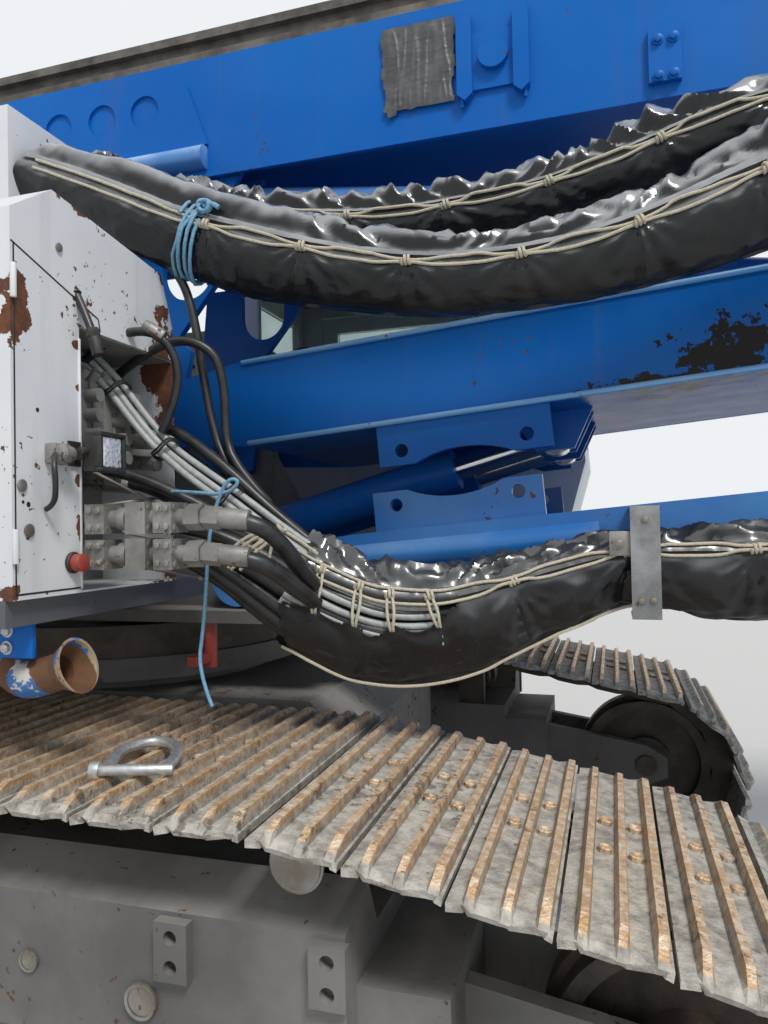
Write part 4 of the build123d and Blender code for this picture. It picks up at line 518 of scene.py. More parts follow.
for paint, name, colour, other, rough, more in (
    ("lamp_housing", "black_plastic_matt", (0.012, 0.012, 0.013), (0.030, 0.030, 0.030), 0.55, {}),
    ("hose_rubber", "hose_rubber_black", (0.012, 0.013, 0.015), (0.028, 0.030, 0.034), 0.36,
     {"scale": 26.0, "dusty": 0.10}),
    ("cable_grey", "cable_sheath_grey", (0.33, 0.36, 0.36), (0.44, 0.46, 0.45), 0.42,
     {"dusty": 0.12, "spots": 0.25}),
    ("rope_cream", "lacing_cord_cream", (0.50, 0.44, 0.33), (0.62, 0.57, 0.46), 0.75,
     {"scale": 140.0, "height": 0.0015, "dusty": 0.2, "spots": 0.35}),
    ("rope_blue", "rope_blue_light", (0.13, 0.32, 0.50), (0.22, 0.44, 0.62), 0.6,
     {"scale": 150.0, "height": 0.0012, "dusty": 0.12}),
    ("tape_dark", "tape_patch_dark", (0.045, 0.048, 0.055), (0.095, 0.098, 0.105), 0.42,
     {"scale": 18.0, "height": 0.003, "dusty": 0.25}),
    ("tie_black", "cable_tie_black", (0.010, 0.010, 0.011), (0.022, 0.022, 0.023), 0.4, {}),
    ("hose_cover", "vinyl_black_plain", (0.010, 0.010, 0.011), (0.02, 0.02, 0.021), 0.25, {"dusty": 0.08}),
):
    paints[paint] = plain_finish(name, colour, other, rough, **more)


def dress_node(node_name, finish):
    node = frame["nodes"][node_name]
    node.data.materials.clear()
    node.data.materials.append(finish)


for entry in frame["record"]["subparts"]:
    dress_node(entry["node"], paints[entry["material_slot"]])
print("every node is painted:", len(frame["nodes"]))

# %% [markdown]
# Every piece of this scene starts as a primitive and is shaped from there. What that needs again and again stands
# here: a grid with its points put in place, a block between two corners, edit mode with the right faces selected, a
# tube along points, and what each piece gets at the end: its finish and the body it rides on.

# %% Shape helpers


@contextmanager
def editing(piece, test=None):
    """Edit mode on the active piece, with the faces selected that pass the test, or everything."""
    bpy.ops.object.mode_set(mode="EDIT")
    if test is None:
        bpy.ops.mesh.select_all(action="SELECT")
    else:
        bpy.ops.mesh.select_mode(type="FACE")
        bpy.ops.mesh.select_all(action="DESELECT")
        bpy.ops.object.mode_set(mode="OBJECT")
        for face in piece.data.polygons:
            face.select = test(face)
        bpy.ops.object.mode_set(mode="EDIT")
    yield
    bpy.ops.object.mode_set(mode="OBJECT")


def weld(piece, gap=None):
    """Joins points that lie within gap, and turns all faces outwards."""
    with editing(piece):
        if gap is not None:
            bpy.ops.mesh.remove_doubles(threshold=gap)
        bpy.ops.mesh.normals_make_consistent(inside=False)


def smooth_below(degrees):
    """Shades the active piece smooth, except over edges that turn by more than so many degrees."""
    bpy.ops.object.shade_smooth_by_angle(angle=math.radians(degrees))


def primitive(name, add, **shape):
    """The piece that an operator adds, with its name and its place and scale applied."""
    bpy.ops.object.select_all(action="DESELECT")
    add(**shape)
    bpy.ops.object.transform_apply(location=True, rotation=True, scale=True)
    piece = bpy.context.object
    piece.name = name
    return piece


def grid_piece(name, columns, rows, places):
    """A grid of so many faces whose points are put at the places, row by row."""
    add = bpy.ops.mesh.primitive_grid_add
    piece = primitive(name, add, x_subdivisions=columns, y_subdivisions=rows, size=1)
    piece.data.vertices.foreach_set("co", places)
    return piece


def cube_piece(name, low, high):
    """A block between two corners."""
    low, high = Vector(low), Vector(high)
    add = bpy.ops.mesh.primitive_cube_add
    return primitive(name, add, size=1, location=(low + high) / 2, scale=high - low)


def thicken(piece, thickness):
    """Gives a sheet its thickness, inwards."""
    wall = piece.modifiers.new("sheet thickness", "SOLIDIFY")
    wall.thickness = thickness
    wall.offset = -1
    bpy.ops.object.modifier_apply(modifier=wall.name)


def tube_mesh(name, points, radius, sides=8):
    """A round tube along points, as one mesh; its ends are closed."""
    points = np.array(points, float)
    forward_way = np.gradient(points, axis=0)
    forward_way /= np.maximum(np.linalg.norm(forward_way, axis=1), 1e-9)[:, None]
    side_way = np.cross(forward_way[0], [0.13, 0.21, 1.0])
    side_way /= np.linalg.norm(side_way)
    rings = []
    for point, way, here in zip(points, forward_way, np.broadcast_to(radius, len(points))):
        side_way = side_way - way * np.dot(side_way, way)
        side_way /= np.linalg.norm(side_way)
        other_way = np.cross(way, side_way)
        for k in range(sides + 1):
            angle = 2 * math.pi * (k % sides) / sides
            rings.extend(point + here * (math.cos(angle) * side_way + math.sin(angle) * other_way))
    tube = grid_piece(name, sides, len(points) - 1, rings)
    with editing(tube):
        bpy.ops.mesh.remove_doubles(threshold=0.000005)
        bpy.ops.mesh.fill_holes(sides=sides + 1)
    weld(tube)
    smooth_below(50)
    return tube


def nurbs_curve(name, points, resolution):
    """A curve with one NURBS spline that starts and ends on its first and last point."""
    curve = bpy.data.curves.new(name, "CURVE")
    curve.dimensions = "3D"
    spline = curve.splines.new("NURBS")
    spline.points.add(len(points) - 1)
    for point, place in zip(spline.points, points):
        point.co = (*place, 1)
    spline.order_u = 3
    spline.use_endpoint_u = True
    curve.resolution_u = resolution
    return curve


def line_of(curve):
    """The points along a curve's spline; the curve is used up."""
    curve.bevel_depth = 0
    holder = bpy.data.objects.new("line", curve)
    line = bpy.data.meshes.new_from_object(holder)
    found = [vertex.co.copy() for vertex in line.vertices]
    bpy.data.objects.remove(holder)
    bpy.data.meshes.remove(line)
    bpy.data.curves.remove(curve)
    return found


def smooth_tube(name, points, radius, sides=10):
    """A tube whose line is read from a NURBS spline through its control points."""
    return tube_mesh(name, line_of(nurbs_curve(name, points, 6)), radius, sides)


def join_pieces(name, pieces):
    bpy.ops.object.select_all(action="DESELECT")
    for piece in pieces:
        piece.select_set(True)
    bpy.context.view_layer.objects.active = pieces[0]
    if len(pieces) > 1:
        bpy.ops.object.join()
    joined_piece = bpy.context.object
    joined_piece.name = name
    return joined_piece


# the slot of each finish that has another name than its slot
SLOT_OF = {"bright_steel": "galvanised", "tie_black": "hose_cover", "hose_rubber": "hose_cover",
           "cable_grey": "hose_cover", "rope_cream": "hose_cover", "rope_blue": "hose_cover",
           "tape_dark": "hose_cover"}


def wear(piece, finish, slot_name=None):
    """Gives a piece its material, which is a name among the paints or a material; its slot name is worked out but
    not kept.
    """
    if isinstance(finish, str):
        slot_name = slot_name or SLOT_OF.get(finish, finish)
        finish = paints[finish]
    piece.data.materials.clear()
    piece.data.materials.append(finish)


def finished(name, pieces, finish, slot_name=None, body="upper_structure"):
    """Joins pieces, gives them their finish and lets them ride on a body."""
    whole = join_pieces(name, pieces)
    wear(whole, finish, slot_name)
    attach(whole, body)
    return whole


print("shape helpers ready")

# %% [markdown]
# The hoses of such a rig run in thick bundles under a sleeve of black vinyl. The sleeve is a
# sheet folded round the hoses: its two edges meet on the outer side, where a hem stands up and a
# pale cord is laced along it. A cloth simulation could drape it, but the folds of stiff vinyl
# are sharp pleats that keep their place, so a plain grid is rolled into a tube here and its
# points are moved: the section follows a table, pleats are a folded wave, and creases come from
# ridged noise.

# %% How a sleeve runs
# each row is one section: x, y, z of its middle, half height, half width
UPPER_SLEEVE = (
    (0.287, -0.888, 2.668, 0.087, 0.087), (0.525, -0.880, 2.560, 0.098, 0.088),
    (0.800, -0.862, 2.430, 0.098, 0.088),
    (1.020, -0.845, 2.347, 0.108, 0.090), (1.280, -0.825, 2.276, 0.094, 0.090),
    (1.510, -0.808, 2.236, 0.089, 0.088),
    (1.750, -0.795, 2.232, 0.087, 0.088), (1.945, -0.783, 2.256, 0.094, 0.090),
    (2.130, -0.772, 2.300, 0.107, 0.092),
    (2.325, -0.760, 2.362, 0.120, 0.094), (2.600, -0.747, 2.440, 0.108, 0.090),
    (2.849, -0.741, 2.476, 0.088, 0.086),
)
MAST_SLEEVE = (
    (0.287, -0.702, 2.728, 0.075, 0.073), (0.520, -0.688, 2.636, 0.076, 0.072),
    (0.880, -0.662, 2.524, 0.074, 0.072),
    (1.200, -0.640, 2.476, 0.070, 0.072), (1.450, -0.630, 2.466, 0.067, 0.070),
    (1.750, -0.622, 2.485, 0.067, 0.070),
    (2.000, -0.618, 2.535, 0.071, 0.072), (2.200, -0.614, 2.590, 0.077, 0.074),
    (2.370, -0.612, 2.625, 0.078, 0.074),
    (2.620, -0.610, 2.622, 0.076, 0.074), (2.849, -0.610, 2.618, 0.074, 0.072),
)
LOWER_SLEEVE = (
    (0.800, -0.990, 1.585, 0.088, 0.084), (0.920, -0.965, 1.560, 0.105, 0.088),
    (1.050, -0.930, 1.490, 0.135, 0.092),
    (1.170, -0.888, 1.405, 0.152, 0.096), (1.340, -0.835, 1.328, 0.165, 0.100),
    (1.510, -0.788, 1.322, 0.156, 0.098),
    (1.670, -0.748, 1.366, 0.130, 0.092), (1.820, -0.715, 1.416, 0.108, 0.086),
    (1.970, -0.692, 1.458, 0.094, 0.080),
    (2.080, -0.678, 1.462, 0.096, 0.082), (2.200, -0.662, 1.452, 0.117, 0.088),
    (2.320, -0.655, 1.452, 0.122, 0.090),
    (2.520, -0.650, 1.472, 0.102, 0.088), (2.749, -0.650, 1.490, 0.086, 0.085),
)


def smooth_rows(rows, step):
    """Rows of numbers run through a Catmull-Rom curve, about step metres apart."""
    table = np.array(rows, float)
    padded = np.vstack([2 * table[0] - table[1], table, 2 * table[-1] - table[-2]])
    found = []
    for a, b, c, d in zip(padded, padded[1:], padded[2:], padded[3:]):
        count = max(2, int(np.linalg.norm((c - b)[:3]) / step))
        for t in np.arange(count) / count:
            found.append(0.5 * (2 * b + (c - a) * t + (2 * a - 5 * b + 4 * c - d) * t**2
                                + (3 * b - a - 3 * c + d) * t**3))
    found.append(padded[-2])
    return np.array(found)


def section_frames(rows):
    """For each row: its middle, the ways outwards and upwards, and how far along it lies."""
    middles = rows[:, :3] + np.array([SLEW_X, 0, 0])
    forward_way = np.gradient(middles, axis=0)
    forward_way /= np.linalg.norm(forward_way, axis=1)[:, None]
    outwards = np.cross(forward_way, [0, 0, 1])
    outwards /= np.linalg.norm(outwards, axis=1)[:, None]
    upwards = np.cross(outwards, forward_way)
    runs = np.concatenate([[0], np.cumsum(np.linalg.norm(np.diff(middles, axis=0), axis=1))])
    return middles, outwards, upwards, runs


KNOT_GAP = 0.295
SLEEVE_STEP = 0.0085


def planned(table, bodies, bend_x, **more):
    """What is known of a sleeve before it is made; the two X of the machine where it bends are only kept."""
    rows = smooth_rows(table, SLEEVE_STEP)
    middles, outwards, upwards, runs = section_frames(rows)
    bend = (*bodies, *(at(x, -0.7, 2.0) for x in bend_x))
    return SimpleNamespace(rows=rows, x=rows[:, 0], middles=middles, outwards=outwards, upwards=upwards, runs=runs,
                           bend=bend, length=section_frames(smooth_rows(table, 0.01))[3][-1], **more)


# seed: where in the noise the folds lie; above and below: their depth over and under the hem;
# apart: how far apart they are; flap: how high the loose edge above the hem stands
SLEEVES = {
    "sleeve_upper": planned(UPPER_SLEEVE, ("upper_structure", "upper_arm"), (0.90, 2.05), node="hose_bundle_upper",
                            first_knot=0.66, seed=2.7, above=1.00, below=0.50, apart=1.30, flap=0.046,
                            calm_start=True, slack=False),
    "sleeve_mast": planned(MAST_SLEEVE, ("upper_structure", "upper_arm"), (0.90, 2.05), node="hose_bundle_mast",
                           first_knot=0.98, seed=9.1, above=1.10, below=0.60, apart=0.62, flap=0.052,
                           calm_start=False, slack=False),
    "sleeve_lower": planned(LOWER_SLEEVE, ("upper_structure", "lower_arm"), (1.25, 2.65), node="hose_bundle_lower",
                            first_knot=1.02, seed=5.3, above=1.0, below=1.0, apart=1.0, flap=0.010,
                            calm_start=False, slack=True),
}
for sleeve in SLEEVES.values():
    sleeve.knots = np.arange(sleeve.first_knot, sleeve.length - 0.08, KNOT_GAP)
print("sleeve lengths", [round(float(sleeve.length), 2) for sleeve in SLEEVES.values()])

# %% Folds of stiff vinyl
HEM_LOW, HEM_HIGH = math.radians(25), math.radians(39)


def rise(value, low, high):
    t = min(1.0, max(0.0, (value - low) / (high - low)))
    return t * t * (3 - 2 * t)


def folded_wave(value):
    """A sharp zigzag between -1 and 1."""
    return 4 * abs(value - math.floor(value + 0.5)) - 1


def noise_at(x, y, z):
    return noise.noise(Vector((x, y, z)))


def vinyl_height(sleeve, run, angle):
    """How far the vinyl stands out at a place along the sleeve and round it."""
    seed, apart = sleeve.seed, sleeve.apart
    across, up = math.cos(angle), math.sin(angle)
    slow = noise_at(run * 5.0 + seed, across * 1.3, up * 1.3)
    above = rise(angle, HEM_HIGH, HEM_HIGH + 0.35) * (1 - rise(angle, 2.6, 3.1))
    if sleeve.calm_start:
        above *= 0.22 + 0.78 * rise(run, 0.70, 1.10)
    below = 1 - rise(angle, HEM_LOW - 0.5, HEM_LOW)
    pleat = 0.0165 * folded_wave(run / (0.170 * apart) + angle * 0.75 + slow * 1.3 + seed) * (0.60 + slow)
    cross = 0.0085 * folded_wave(run / (0.088 * apart) - angle * 1.05 + slow * 2.0 + seed * 2) * (0.7 - slow)
    small = 0.0022 * folded_wave(run / 0.043 + angle * 0.5 + slow * 2.6)
    height = above * sleeve.above * (pleat + cross + small)
    hang = 0.010 * noise_at(run * 7.5 + seed, angle * 0.55, 3.0)
    sag = 0.0045 * folded_wave(run / 0.135 + 0.22 * math.sin(angle * 1.4) + slow * 0.9 + seed)
    height += below * sleeve.below * (hang + sag)
    crease = 1 - 4.0 * abs(noise_at(run * 22.0 + seed, across * 2.4, up * 2.4))
    height += 0.0014 * max(0.0, crease)
    for knot in sleeve.knots:
        off = abs(run - knot)
        if off < 0.12:
            fan = folded_wave(math.atan2(angle - HEM_LOW, (run - knot) * 9.0) * 2.2)
            height += (0.005 * fan - 0.007) * (1 - off / 0.12) * below
    standing = rise(angle, HEM_HIGH, 1.22) * (1 - rise(angle, 1.35, 2.2))
    height += standing * sleeve.flap * (0.80 + 0.55 * noise_at(run * 3.2 / apart, seed, 7.0))
    band = rise(angle, HEM_LOW, HEM_LOW + 0.03) * (1 - rise(angle, HEM_HIGH - 0.03, HEM_HIGH + 0.03))
    return height + band * (0.0095 + 0.003 * slow)


def surface_point(sleeve, index, angle, lift):
    """A point on the sleeve's section, lifted from it by some metres."""
    half_high, half_wide = sleeve.rows[index, 3:5]
    wide = half_wide * (1 - 0.16 * max(0.0, -math.sin(angle)))
    return (sleeve.middles[index] + sleeve.outwards[index] * math.cos(angle) * (wide + lift)
            + sleeve.upwards[index] * math.sin(angle) * (half_high + lift))


def nearest_row(sleeve, x):
    return int(np.argmin(abs(sleeve.x - x)))


print("folds are worked out from", HEM_LOW, "to", HEM_HIGH)

# %% The open slit of the lower sleeve
# x and the lower edge of the open lacing, in degrees round the section
SLIT = ((0.955, 24), (0.975, -12), (1.080, -22), (1.170, -8), (1.240, 3), (1.330, 1), (1.420, 9), (1.500, 8),
        (1.565, 22))
SLIT_HIGH = math.radians(25)
# x of the ties that hold the lower edge up: between them it sags
TIED_AT = (1.200, 1.290, 1.385, 1.505)
SLIT_SAG = 0.17
MOUTH_X = 1.105
AROUND = 104


def slit_low(x):
    """Lower edge of the opening at one place along the sleeve, or None where it is closed."""
    if not SLIT[0][0] < x < SLIT[-1][0]:
        return None
    edge = math.radians(float(np.interp(x, *zip(*SLIT))))
    for first, second in zip(TIED_AT, TIED_AT[1:]):
        if first < x < second:
            edge -= SLIT_SAG * math.sin(math.pi * (x - first) / (second - first))
    return edge


def column_angle(column):
    return -math.pi * 0.5 + 2 * math.pi * column / AROUND


def in_slit(sleeve, face):
    """True for a face that lies in the opening or before the ragged mouth."""
    row, column = divmod(face.index, AROUND)
    x, angle = sleeve.x[row], column_angle(column + 0.5)
    mouth = MOUTH_X + 0.030 * (1 - math.sin(angle)) + 0.016 * math.sin(angle * 4.0)
    low = slit_low(x)
    return bool(x < mouth or (low is not None and low < angle < SLIT_HIGH))


def vinyl_sleeve(name, sleeve):
    """A grid rolled round the hoses, with its pleats and, where it is slack, its open slit."""
    places = []
    for index, run in enumerate(sleeve.runs):
        ends = max(0.0, min(1.0, run / 0.05, (sleeve.runs[-1] - run) / 0.05))
        low = slit_low(sleeve.x[index]) if sleeve.slack else None
        for k in range(AROUND + 1):
            angle = column_angle(k % AROUND)
            rolled = 0.0
            for edge in ((low, SLIT_HIGH) if low is not None else ()):
                if abs(angle - edge) < math.pi / AROUND:
                    angle, rolled = edge, 0.005
            lift = vinyl_height(sleeve, run, angle) * ends + rolled
            places.extend(surface_point(sleeve, index, angle, lift))
    piece = grid_piece(name, AROUND, len(sleeve.runs) - 1, places)
    if sleeve.slack:
        with editing(piece, lambda face: in_slit(sleeve, face)):
            bpy.ops.mesh.delete(type="FACE")
    weld(piece, 0.00002)
    if sleeve.slack:
        thicken(piece, 0.0025)
    smooth_below(38)
    return piece


print("slit from", SLIT[0][0], "to", SLIT[-1][0])

# %% The vinyl itself


def vinyl(name, bleach_and_sheen, gloss):
    """Black vinyl: creased, with dust, and lighter silver-grey where it faces the sky, partly sun-faded and partly
    a painted sheen of the sky.
    """
    material, shader, where = set_up_material(name)
    feeds = {"Scale": 13.0, "Detail": 5.0, "Vector": stretched(where, (0.6, 1, 1))}
    creased = add_node(where, "TexNoise", feeds, noise_type="RIDGED_MULTIFRACTAL").outputs["Fac"]
    dull_spots = noise_node(where, 5.0, 6.0, 0.65)
    tone = layer((0.0070, 0.0080, 0.0105), (0.017, 0.0175, 0.0195), step_node(dull_spots, 0.38, 0.68))
    tone = layer(tone, (0.17, 0.15, 0.13), effect("settled_dust_and_sheen", where, Amount=0.07, Scale=2.4))
    up = facing(where, "Z")
    # the lighter silver-grey on what faces up is partly sun-faded vinyl and partly a painted sheen of the sky's
    # reflection
    bleach_and_sheen_mask = times(step_node(up, -0.02, 0.48, 0.0, bleach_and_sheen),
                     step_node(dull_spots, 0.30, 0.66, 0.45, 1.0))
    feed(shader, "Base Color", layer(tone, (0.300, 0.310, 0.322), bleach_and_sheen_mask))
    feed(shader, "Roughness", step_node(dull_spots, 0.3, 0.72, 0.17, 0.36))
    feed(shader, "Specular IOR Level", 0.42)
    feed(shader, "Coat IOR", 1.85)
    feed(shader, "Coat Roughness", 0.20)
    feed(shader, "Coat Weight", step_node(up, 0.02, 0.35, 0.0, gloss))
    height = plus(times(creased, 0.5), times(noise_node(where, 420.0, 2.0), 0.04))
    bump(shader, height, 0.0030, 0.5)
    return material


tight_vinyl = vinyl("sleeve_vinyl_black", 0.9, 1.0)
slack_vinyl = vinyl("sleeve_vinyl_slack", 0.14, 0.75)
for name, sleeve in SLEEVES.items():
    piece = vinyl_sleeve(name, sleeve)
    wear(piece, slack_vinyl if sleeve.slack else tight_vinyl, "hose_cover")
    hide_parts(sleeve.node)
    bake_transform(piece)
    print(name, len(piece.data.polygons), "faces,", len(sleeve.knots), "knots")

# %% [markdown]
# Lacing is what a rigger adds: two strands side by side, hitched every foot or so. The strands
# lie in the valley under the hem, so their path is read from the same section as the sleeve.
# A curve with a round bevel would make a tube as well. A grid whose rows are carried along the path gives the same
# tube as a mesh.

# %% Strands and hitches


def blended(name, pieces, finish):
    """Joins pieces, gives them their finish and bakes their place into the mesh."""
    whole = join_pieces(name, pieces)
    wear(whole, finish)
    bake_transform(whole)
    print(name, len(whole.data.polygons), "faces")


def hitch(place, way, out, size):
    """Two and a half tight turns of cord round both strands."""
    way = Vector(way).normalized()
    out = (Vector(out) - way * Vector(out).dot(way)).normalized()
    third = way.cross(out)
    turns = [Vector(place) + way * (t - 1) * size * 0.9
             + (out * math.cos(t * 6.0) + third * math.sin(t * 6.0)) * size * (1.0 + 0.12 * math.sin(t * 5))
             for t in np.linspace(0, 2.6, 26)]
    return tube_mesh("hitch", turns, 0.0042, 7)


def row_hitch(sleeve, index, angle, lift, size):
    """A hitch on the sleeve, across the way it runs there."""
    way = sleeve.middles[index + 1] - sleeve.middles[index - 1]
    return hitch(surface_point(sleeve, index, angle, lift), way, sleeve.outwards[index], size)


def lace(sleeve, seed, low, angle):
    """Both strands along the hem from x = low on, and a hitch at each knot."""
    rows = [index for index in range(4, len(sleeve.x) - 4) if sleeve.x[index] >= low]
    pieces = []
    for side in (-1, 1):
        line = []
        for index in rows:
            if index % 2:
                continue
            run, half_wide = sleeve.runs[index], sleeve.rows[index, 4]
            nearest = min([abs(run - knot) for knot in sleeve.knots] + [0.4])
            spread = 0.5 + 0.9 * rise(nearest, 0.02, 0.10)
            sway = 0.0022 * noise_at(run * 8, seed + side, 1)
            here = angle + (side * 0.0075 * spread + sway) / half_wide
            lift = 0.004 + max(0.0, vinyl_height(sleeve, run, here))
            line.append(surface_point(sleeve, index, here, lift))
        pieces.append(tube_mesh("strand", line, 0.0043, 8))
    for knot in sleeve.knots:
        index = int(np.argmin(abs(sleeve.runs - knot)))
        if index in rows and 4 < index < len(sleeve.x) - 5:
            pieces.append(row_hitch(sleeve, index, angle, 0.008, 0.0105))
    return pieces


for name, seed, low, angle in (("upper", 1.0, 0.335, 19), ("mast", 4.0, 0.80, 19), ("lower", 7.0, 1.085, 30)):
    sleeve = SLEEVES["sleeve_" + name]
    blended("lacing_" + name, lace(sleeve, seed, low, math.radians(angle)), "rope_cream")

# %% [markdown]
# A crawler track is a chain with a steel shoe bolted to each link. The solid in the frame is one
# closed belt, which is right for contact but shows no single shoes. Here one shoe is modelled:
# a plate whose outer side is pulled up into three grousers, with their ends cut down on a slope,
# and four bolts. The shoe is then copied along the belt line, each copy turned to the chord
# between its two pins. An array along a curve would bend the shoes, and real shoes stay flat.

# %% The belt line
# x, z and tip radius of each wheel, met with the outside on the right
WHEELS = ((-1.56, 0.24, 0.24), (1.56, 0.24, 0.24), (2.08, 0.47, 0.42), (1.29, 0.835, 0.21), (-0.75, 0.852, 0.21),
          (-2.05, 0.56, 0.455))
TIP_TO_PIN = 0.090
CHAIN_DEPTH = 0.142
LINK_Y = 0.0625
LINK_HALF = 0.0225
GROUSER = 0.028
SHOE_STEEL = 0.016
SHOE_PITCH = 0.190
SHOE_HALF = 0.45
TRACK_Y = 1.05


def belt_line(inset, step=0.004):
    """The belt as close points: arcs round the wheels and straight runs between them."""
    wheels = [(x, z, tip - inset) for x, z, tip in WHEELS]
    normals = []
    for (x0, z0, r0), (x1, z1, r1) in zip(wheels, wheels[1:] + wheels[:1]):
        run = math.hypot(x1 - x0, z1 - z0)
        ux, uz, lean = (x1 - x0) / run, (z1 - z0) / run, (r0 - r1) / run
        side = math.sqrt(1 - lean * lean)
        normals.append((ux * lean + uz * side, uz * lean - ux * side))
    found = []
    for index, (x, z, r) in enumerate(wheels):
        first = math.atan2(normals[index - 1][1], normals[index - 1][0])
        sweep = (math.atan2(normals[index][1], normals[index][0]) - first) % (2 * math.pi)
        for share in np.linspace(0, 1, max(2, int(r * sweep / step))):
            angle = first + sweep * share
            found.append((x + r * math.cos(angle), z + r * math.sin(angle)))
        nx, nz, nr = wheels[(index + 1) % len(wheels)]
        start = np.array(found[-1])
        end = np.array([nx + nr * normals[index][0], nz + nr * normals[index][1]])
        count = max(2, int(np.linalg.norm(end - start) / step))
        found.extend(tuple(start + (end - start) * share) for share in np.linspace(0, 1, count)[1:-1])
    return np.array(found)


pin_line = belt_line(TIP_TO_PIN)
chords = np.linalg.norm(np.diff(np.vstack([pin_line, pin_line[:1]]), axis=0), axis=1)
lengths = np.concatenate([[0], np.cumsum(chords)])
shoe_count = round(lengths[-1] / SHOE_PITCH)
pins = [pin_line[np.searchsorted(lengths, lengths[-1] * i / shoe_count) % len(pin_line)]
        for i in range(shoe_count)]
print("shoes on each track", shoe_count)

# %% One shoe
# share of the pitch and height above the valley, as the solid belt has them
PROFILE = ((0.015, 0.0), (0.045, 0.0), (0.065, 1.0), (0.155, 1.0), (0.185, 0.08), (0.375, 0.08), (0.405, 0.90),
           (0.480, 0.90), (0.510, 0.08), (0.715, 0.08), (0.745, 0.90), (0.820, 0.90), (0.850, 0.0), (0.985, -0.18))
ENDS = (-0.45, -0.432, -0.395, -0.30, -0.15, 0.0, 0.15, 0.30, 0.395, 0.432, 0.45)
BOLT_SPOTS = ((0.275, -0.075), (0.275, 0.075), (0.610, -0.075), (0.610, 0.075))


def shoe_mesh():
    """A grid drawn out to the shoe's profile, with its ends cut down, then given its thickness."""
    places = []
    for end in ENDS:
        from_end = SHOE_HALF - abs(end)
        crest = 0.0 if from_end < 0.010 else (0.42 if from_end < 0.03 else 1.0)
        for share, high in PROFILE:
            tuck = -0.010 if (from_end < 0.001 and 0.2 < share < 0.8) else 0.0
            places.extend((share * SHOE_PITCH, end, high * GROUSER * (crest if high > 0.5 else 1.0) + tuck))
    shoe = grid_piece("one_shoe", len(PROFILE) - 1, len(ENDS) - 1, places)
    thicken(shoe, SHOE_STEEL)
    weld(shoe)
    return shoe


def shoe_bolt(share, across):
    """A round-edged head with its washer, in a valley beside the chain."""
    head = primitive("shoe_bolt", bpy.ops.mesh.primitive_cylinder_add, vertices=10, radius=0.0155, depth=0.010,
                     location=(share * SHOE_PITCH, across, 0.007))
    with editing(head, lambda face: face.normal.z > 0.9):
        for inset, push in ((0.003, 0.0025), (0.006, -0.004)):
            bpy.ops.mesh.inset(thickness=inset)
            bpy.ops.transform.translate(value=(0, 0, push))
    return head


one_shoe = join_pieces("one_shoe", [shoe_mesh()] + [shoe_bolt(*spot) for spot in BOLT_SPOTS])
print("one shoe has", len(one_shoe.data.polygons), "faces")

# %% Round both belts


def copied(template, moves):
    """Copies of a piece, each moved by its own matrix."""
    copies = []
    for move in moves:
        twin = template.copy()
        twin.data = template.data.copy()
        scene.collection.objects.link(twin)
        twin.data.transform(move)
        copies.append(twin)
    return copies


def shod_track(label, side):
    """Copies of the shoe from pin to pin; the left track's side is 1."""
    wander = np.random.default_rng(11 + side)
    moves = []
    for (x0, z0), (x1, z1) in zip(pins, pins[1:] + pins[:1]):
        chord = math.hypot(x1 - x0, z1 - z0)
        ux, uz, longer = (x1 - x0) / chord, (z1 - z0) / chord, chord / SHOE_PITCH
        # the shoe's z points out of the belt, which is on the right of the way it runs
        basis = Matrix(((ux * longer, 0, uz, 0), (0, 1, 0, 0), (uz * longer, 0, -ux, 0), (0, 0, 0, 1)))
        slack = wander.uniform(-0.0025, 0.0025)
        valley = TIP_TO_PIN - GROUSER
        start = (x0 + SLEW_X + uz * valley, side * TRACK_Y + slack, z0 - ux * valley)
        moves.append(Matrix.Translation(start) @ basis)
    track = join_pieces("track_shoes_" + label, copied(one_shoe, moves))
    weld(track)
    for vertex in track.data.vertices:
        vertex.co.z = max(vertex.co.z, 0.0)
    wear(track, "track_steel")
    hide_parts("track_" + label)
    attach(track, "undercarriage")
    print(track.name, len(track.data.polygons), "faces")


def chain_rail(y):
    """One rail of links inside the belt, as a notched band on edge."""
    outer, inner = belt_line(GROUSER + SHOE_STEEL), belt_line(CHAIN_DEPTH)
    spots = [np.linspace(0, len(line) - 1, shoe_count * 4, endpoint=False).astype(int)
             for line in (outer, inner)]
    near, far = y - LINK_HALF, y + LINK_HALF
    places = []
    for k in [*range(shoe_count * 4), 0]:
        (x0, z0), (x1, z1) = outer[spots[0][k]], inner[spots[1][k]]
        notch = 0.0 if k % 4 else 0.10
        x1, z1 = x1 + (x0 - x1) * notch, z1 + (z0 - z1) * notch
        for x, here, z in ((x0, near, z0), (x0, far, z0), (x1, far, z1), (x1, near, z1), (x0, near, z0)):
            places.extend((x + SLEW_X, here, z))
    rail = grid_piece("rail", 4, shoe_count * 4, places)
    weld(rail, 0.00005)
    return rail


for label, side in (("left", 1), ("right", -1)):
    shod_track(label, side)
    rails = [chain_rail(side * TRACK_Y + across * LINK_Y) for across in (-1, 1)]
    finished("chain_rails_" + label, rails, "dark_steel", body="undercarriage")
bpy.data.objects.remove(one_shoe)

# %% [markdown]
# The white cabinet on the side deck is where the hands of a fitter go every day, so it has the
# most small things: round locks, a keyhole, the red stop button, a work lamp, valve sections
# with thin levers, and cables that come out in a bow. Each is a primitive at its place, shaped in
# edit mode. A few helpers do the repeated part: a block with soft edges, a turned rod, a bolt
# head, and a free cord with the length and thickness that it has as a thing of its own.

# %% Helpers for small parts


def soft_block(name, low, high, soft=0.003, segments=2):
    """A block between two corners, with its edges bevelled."""
    block = cube_piece(name, low, high)
    with editing(block):
        bpy.ops.mesh.bevel(offset=soft, segments=segments, affect="EDGES")
    smooth_below(40)
    return block


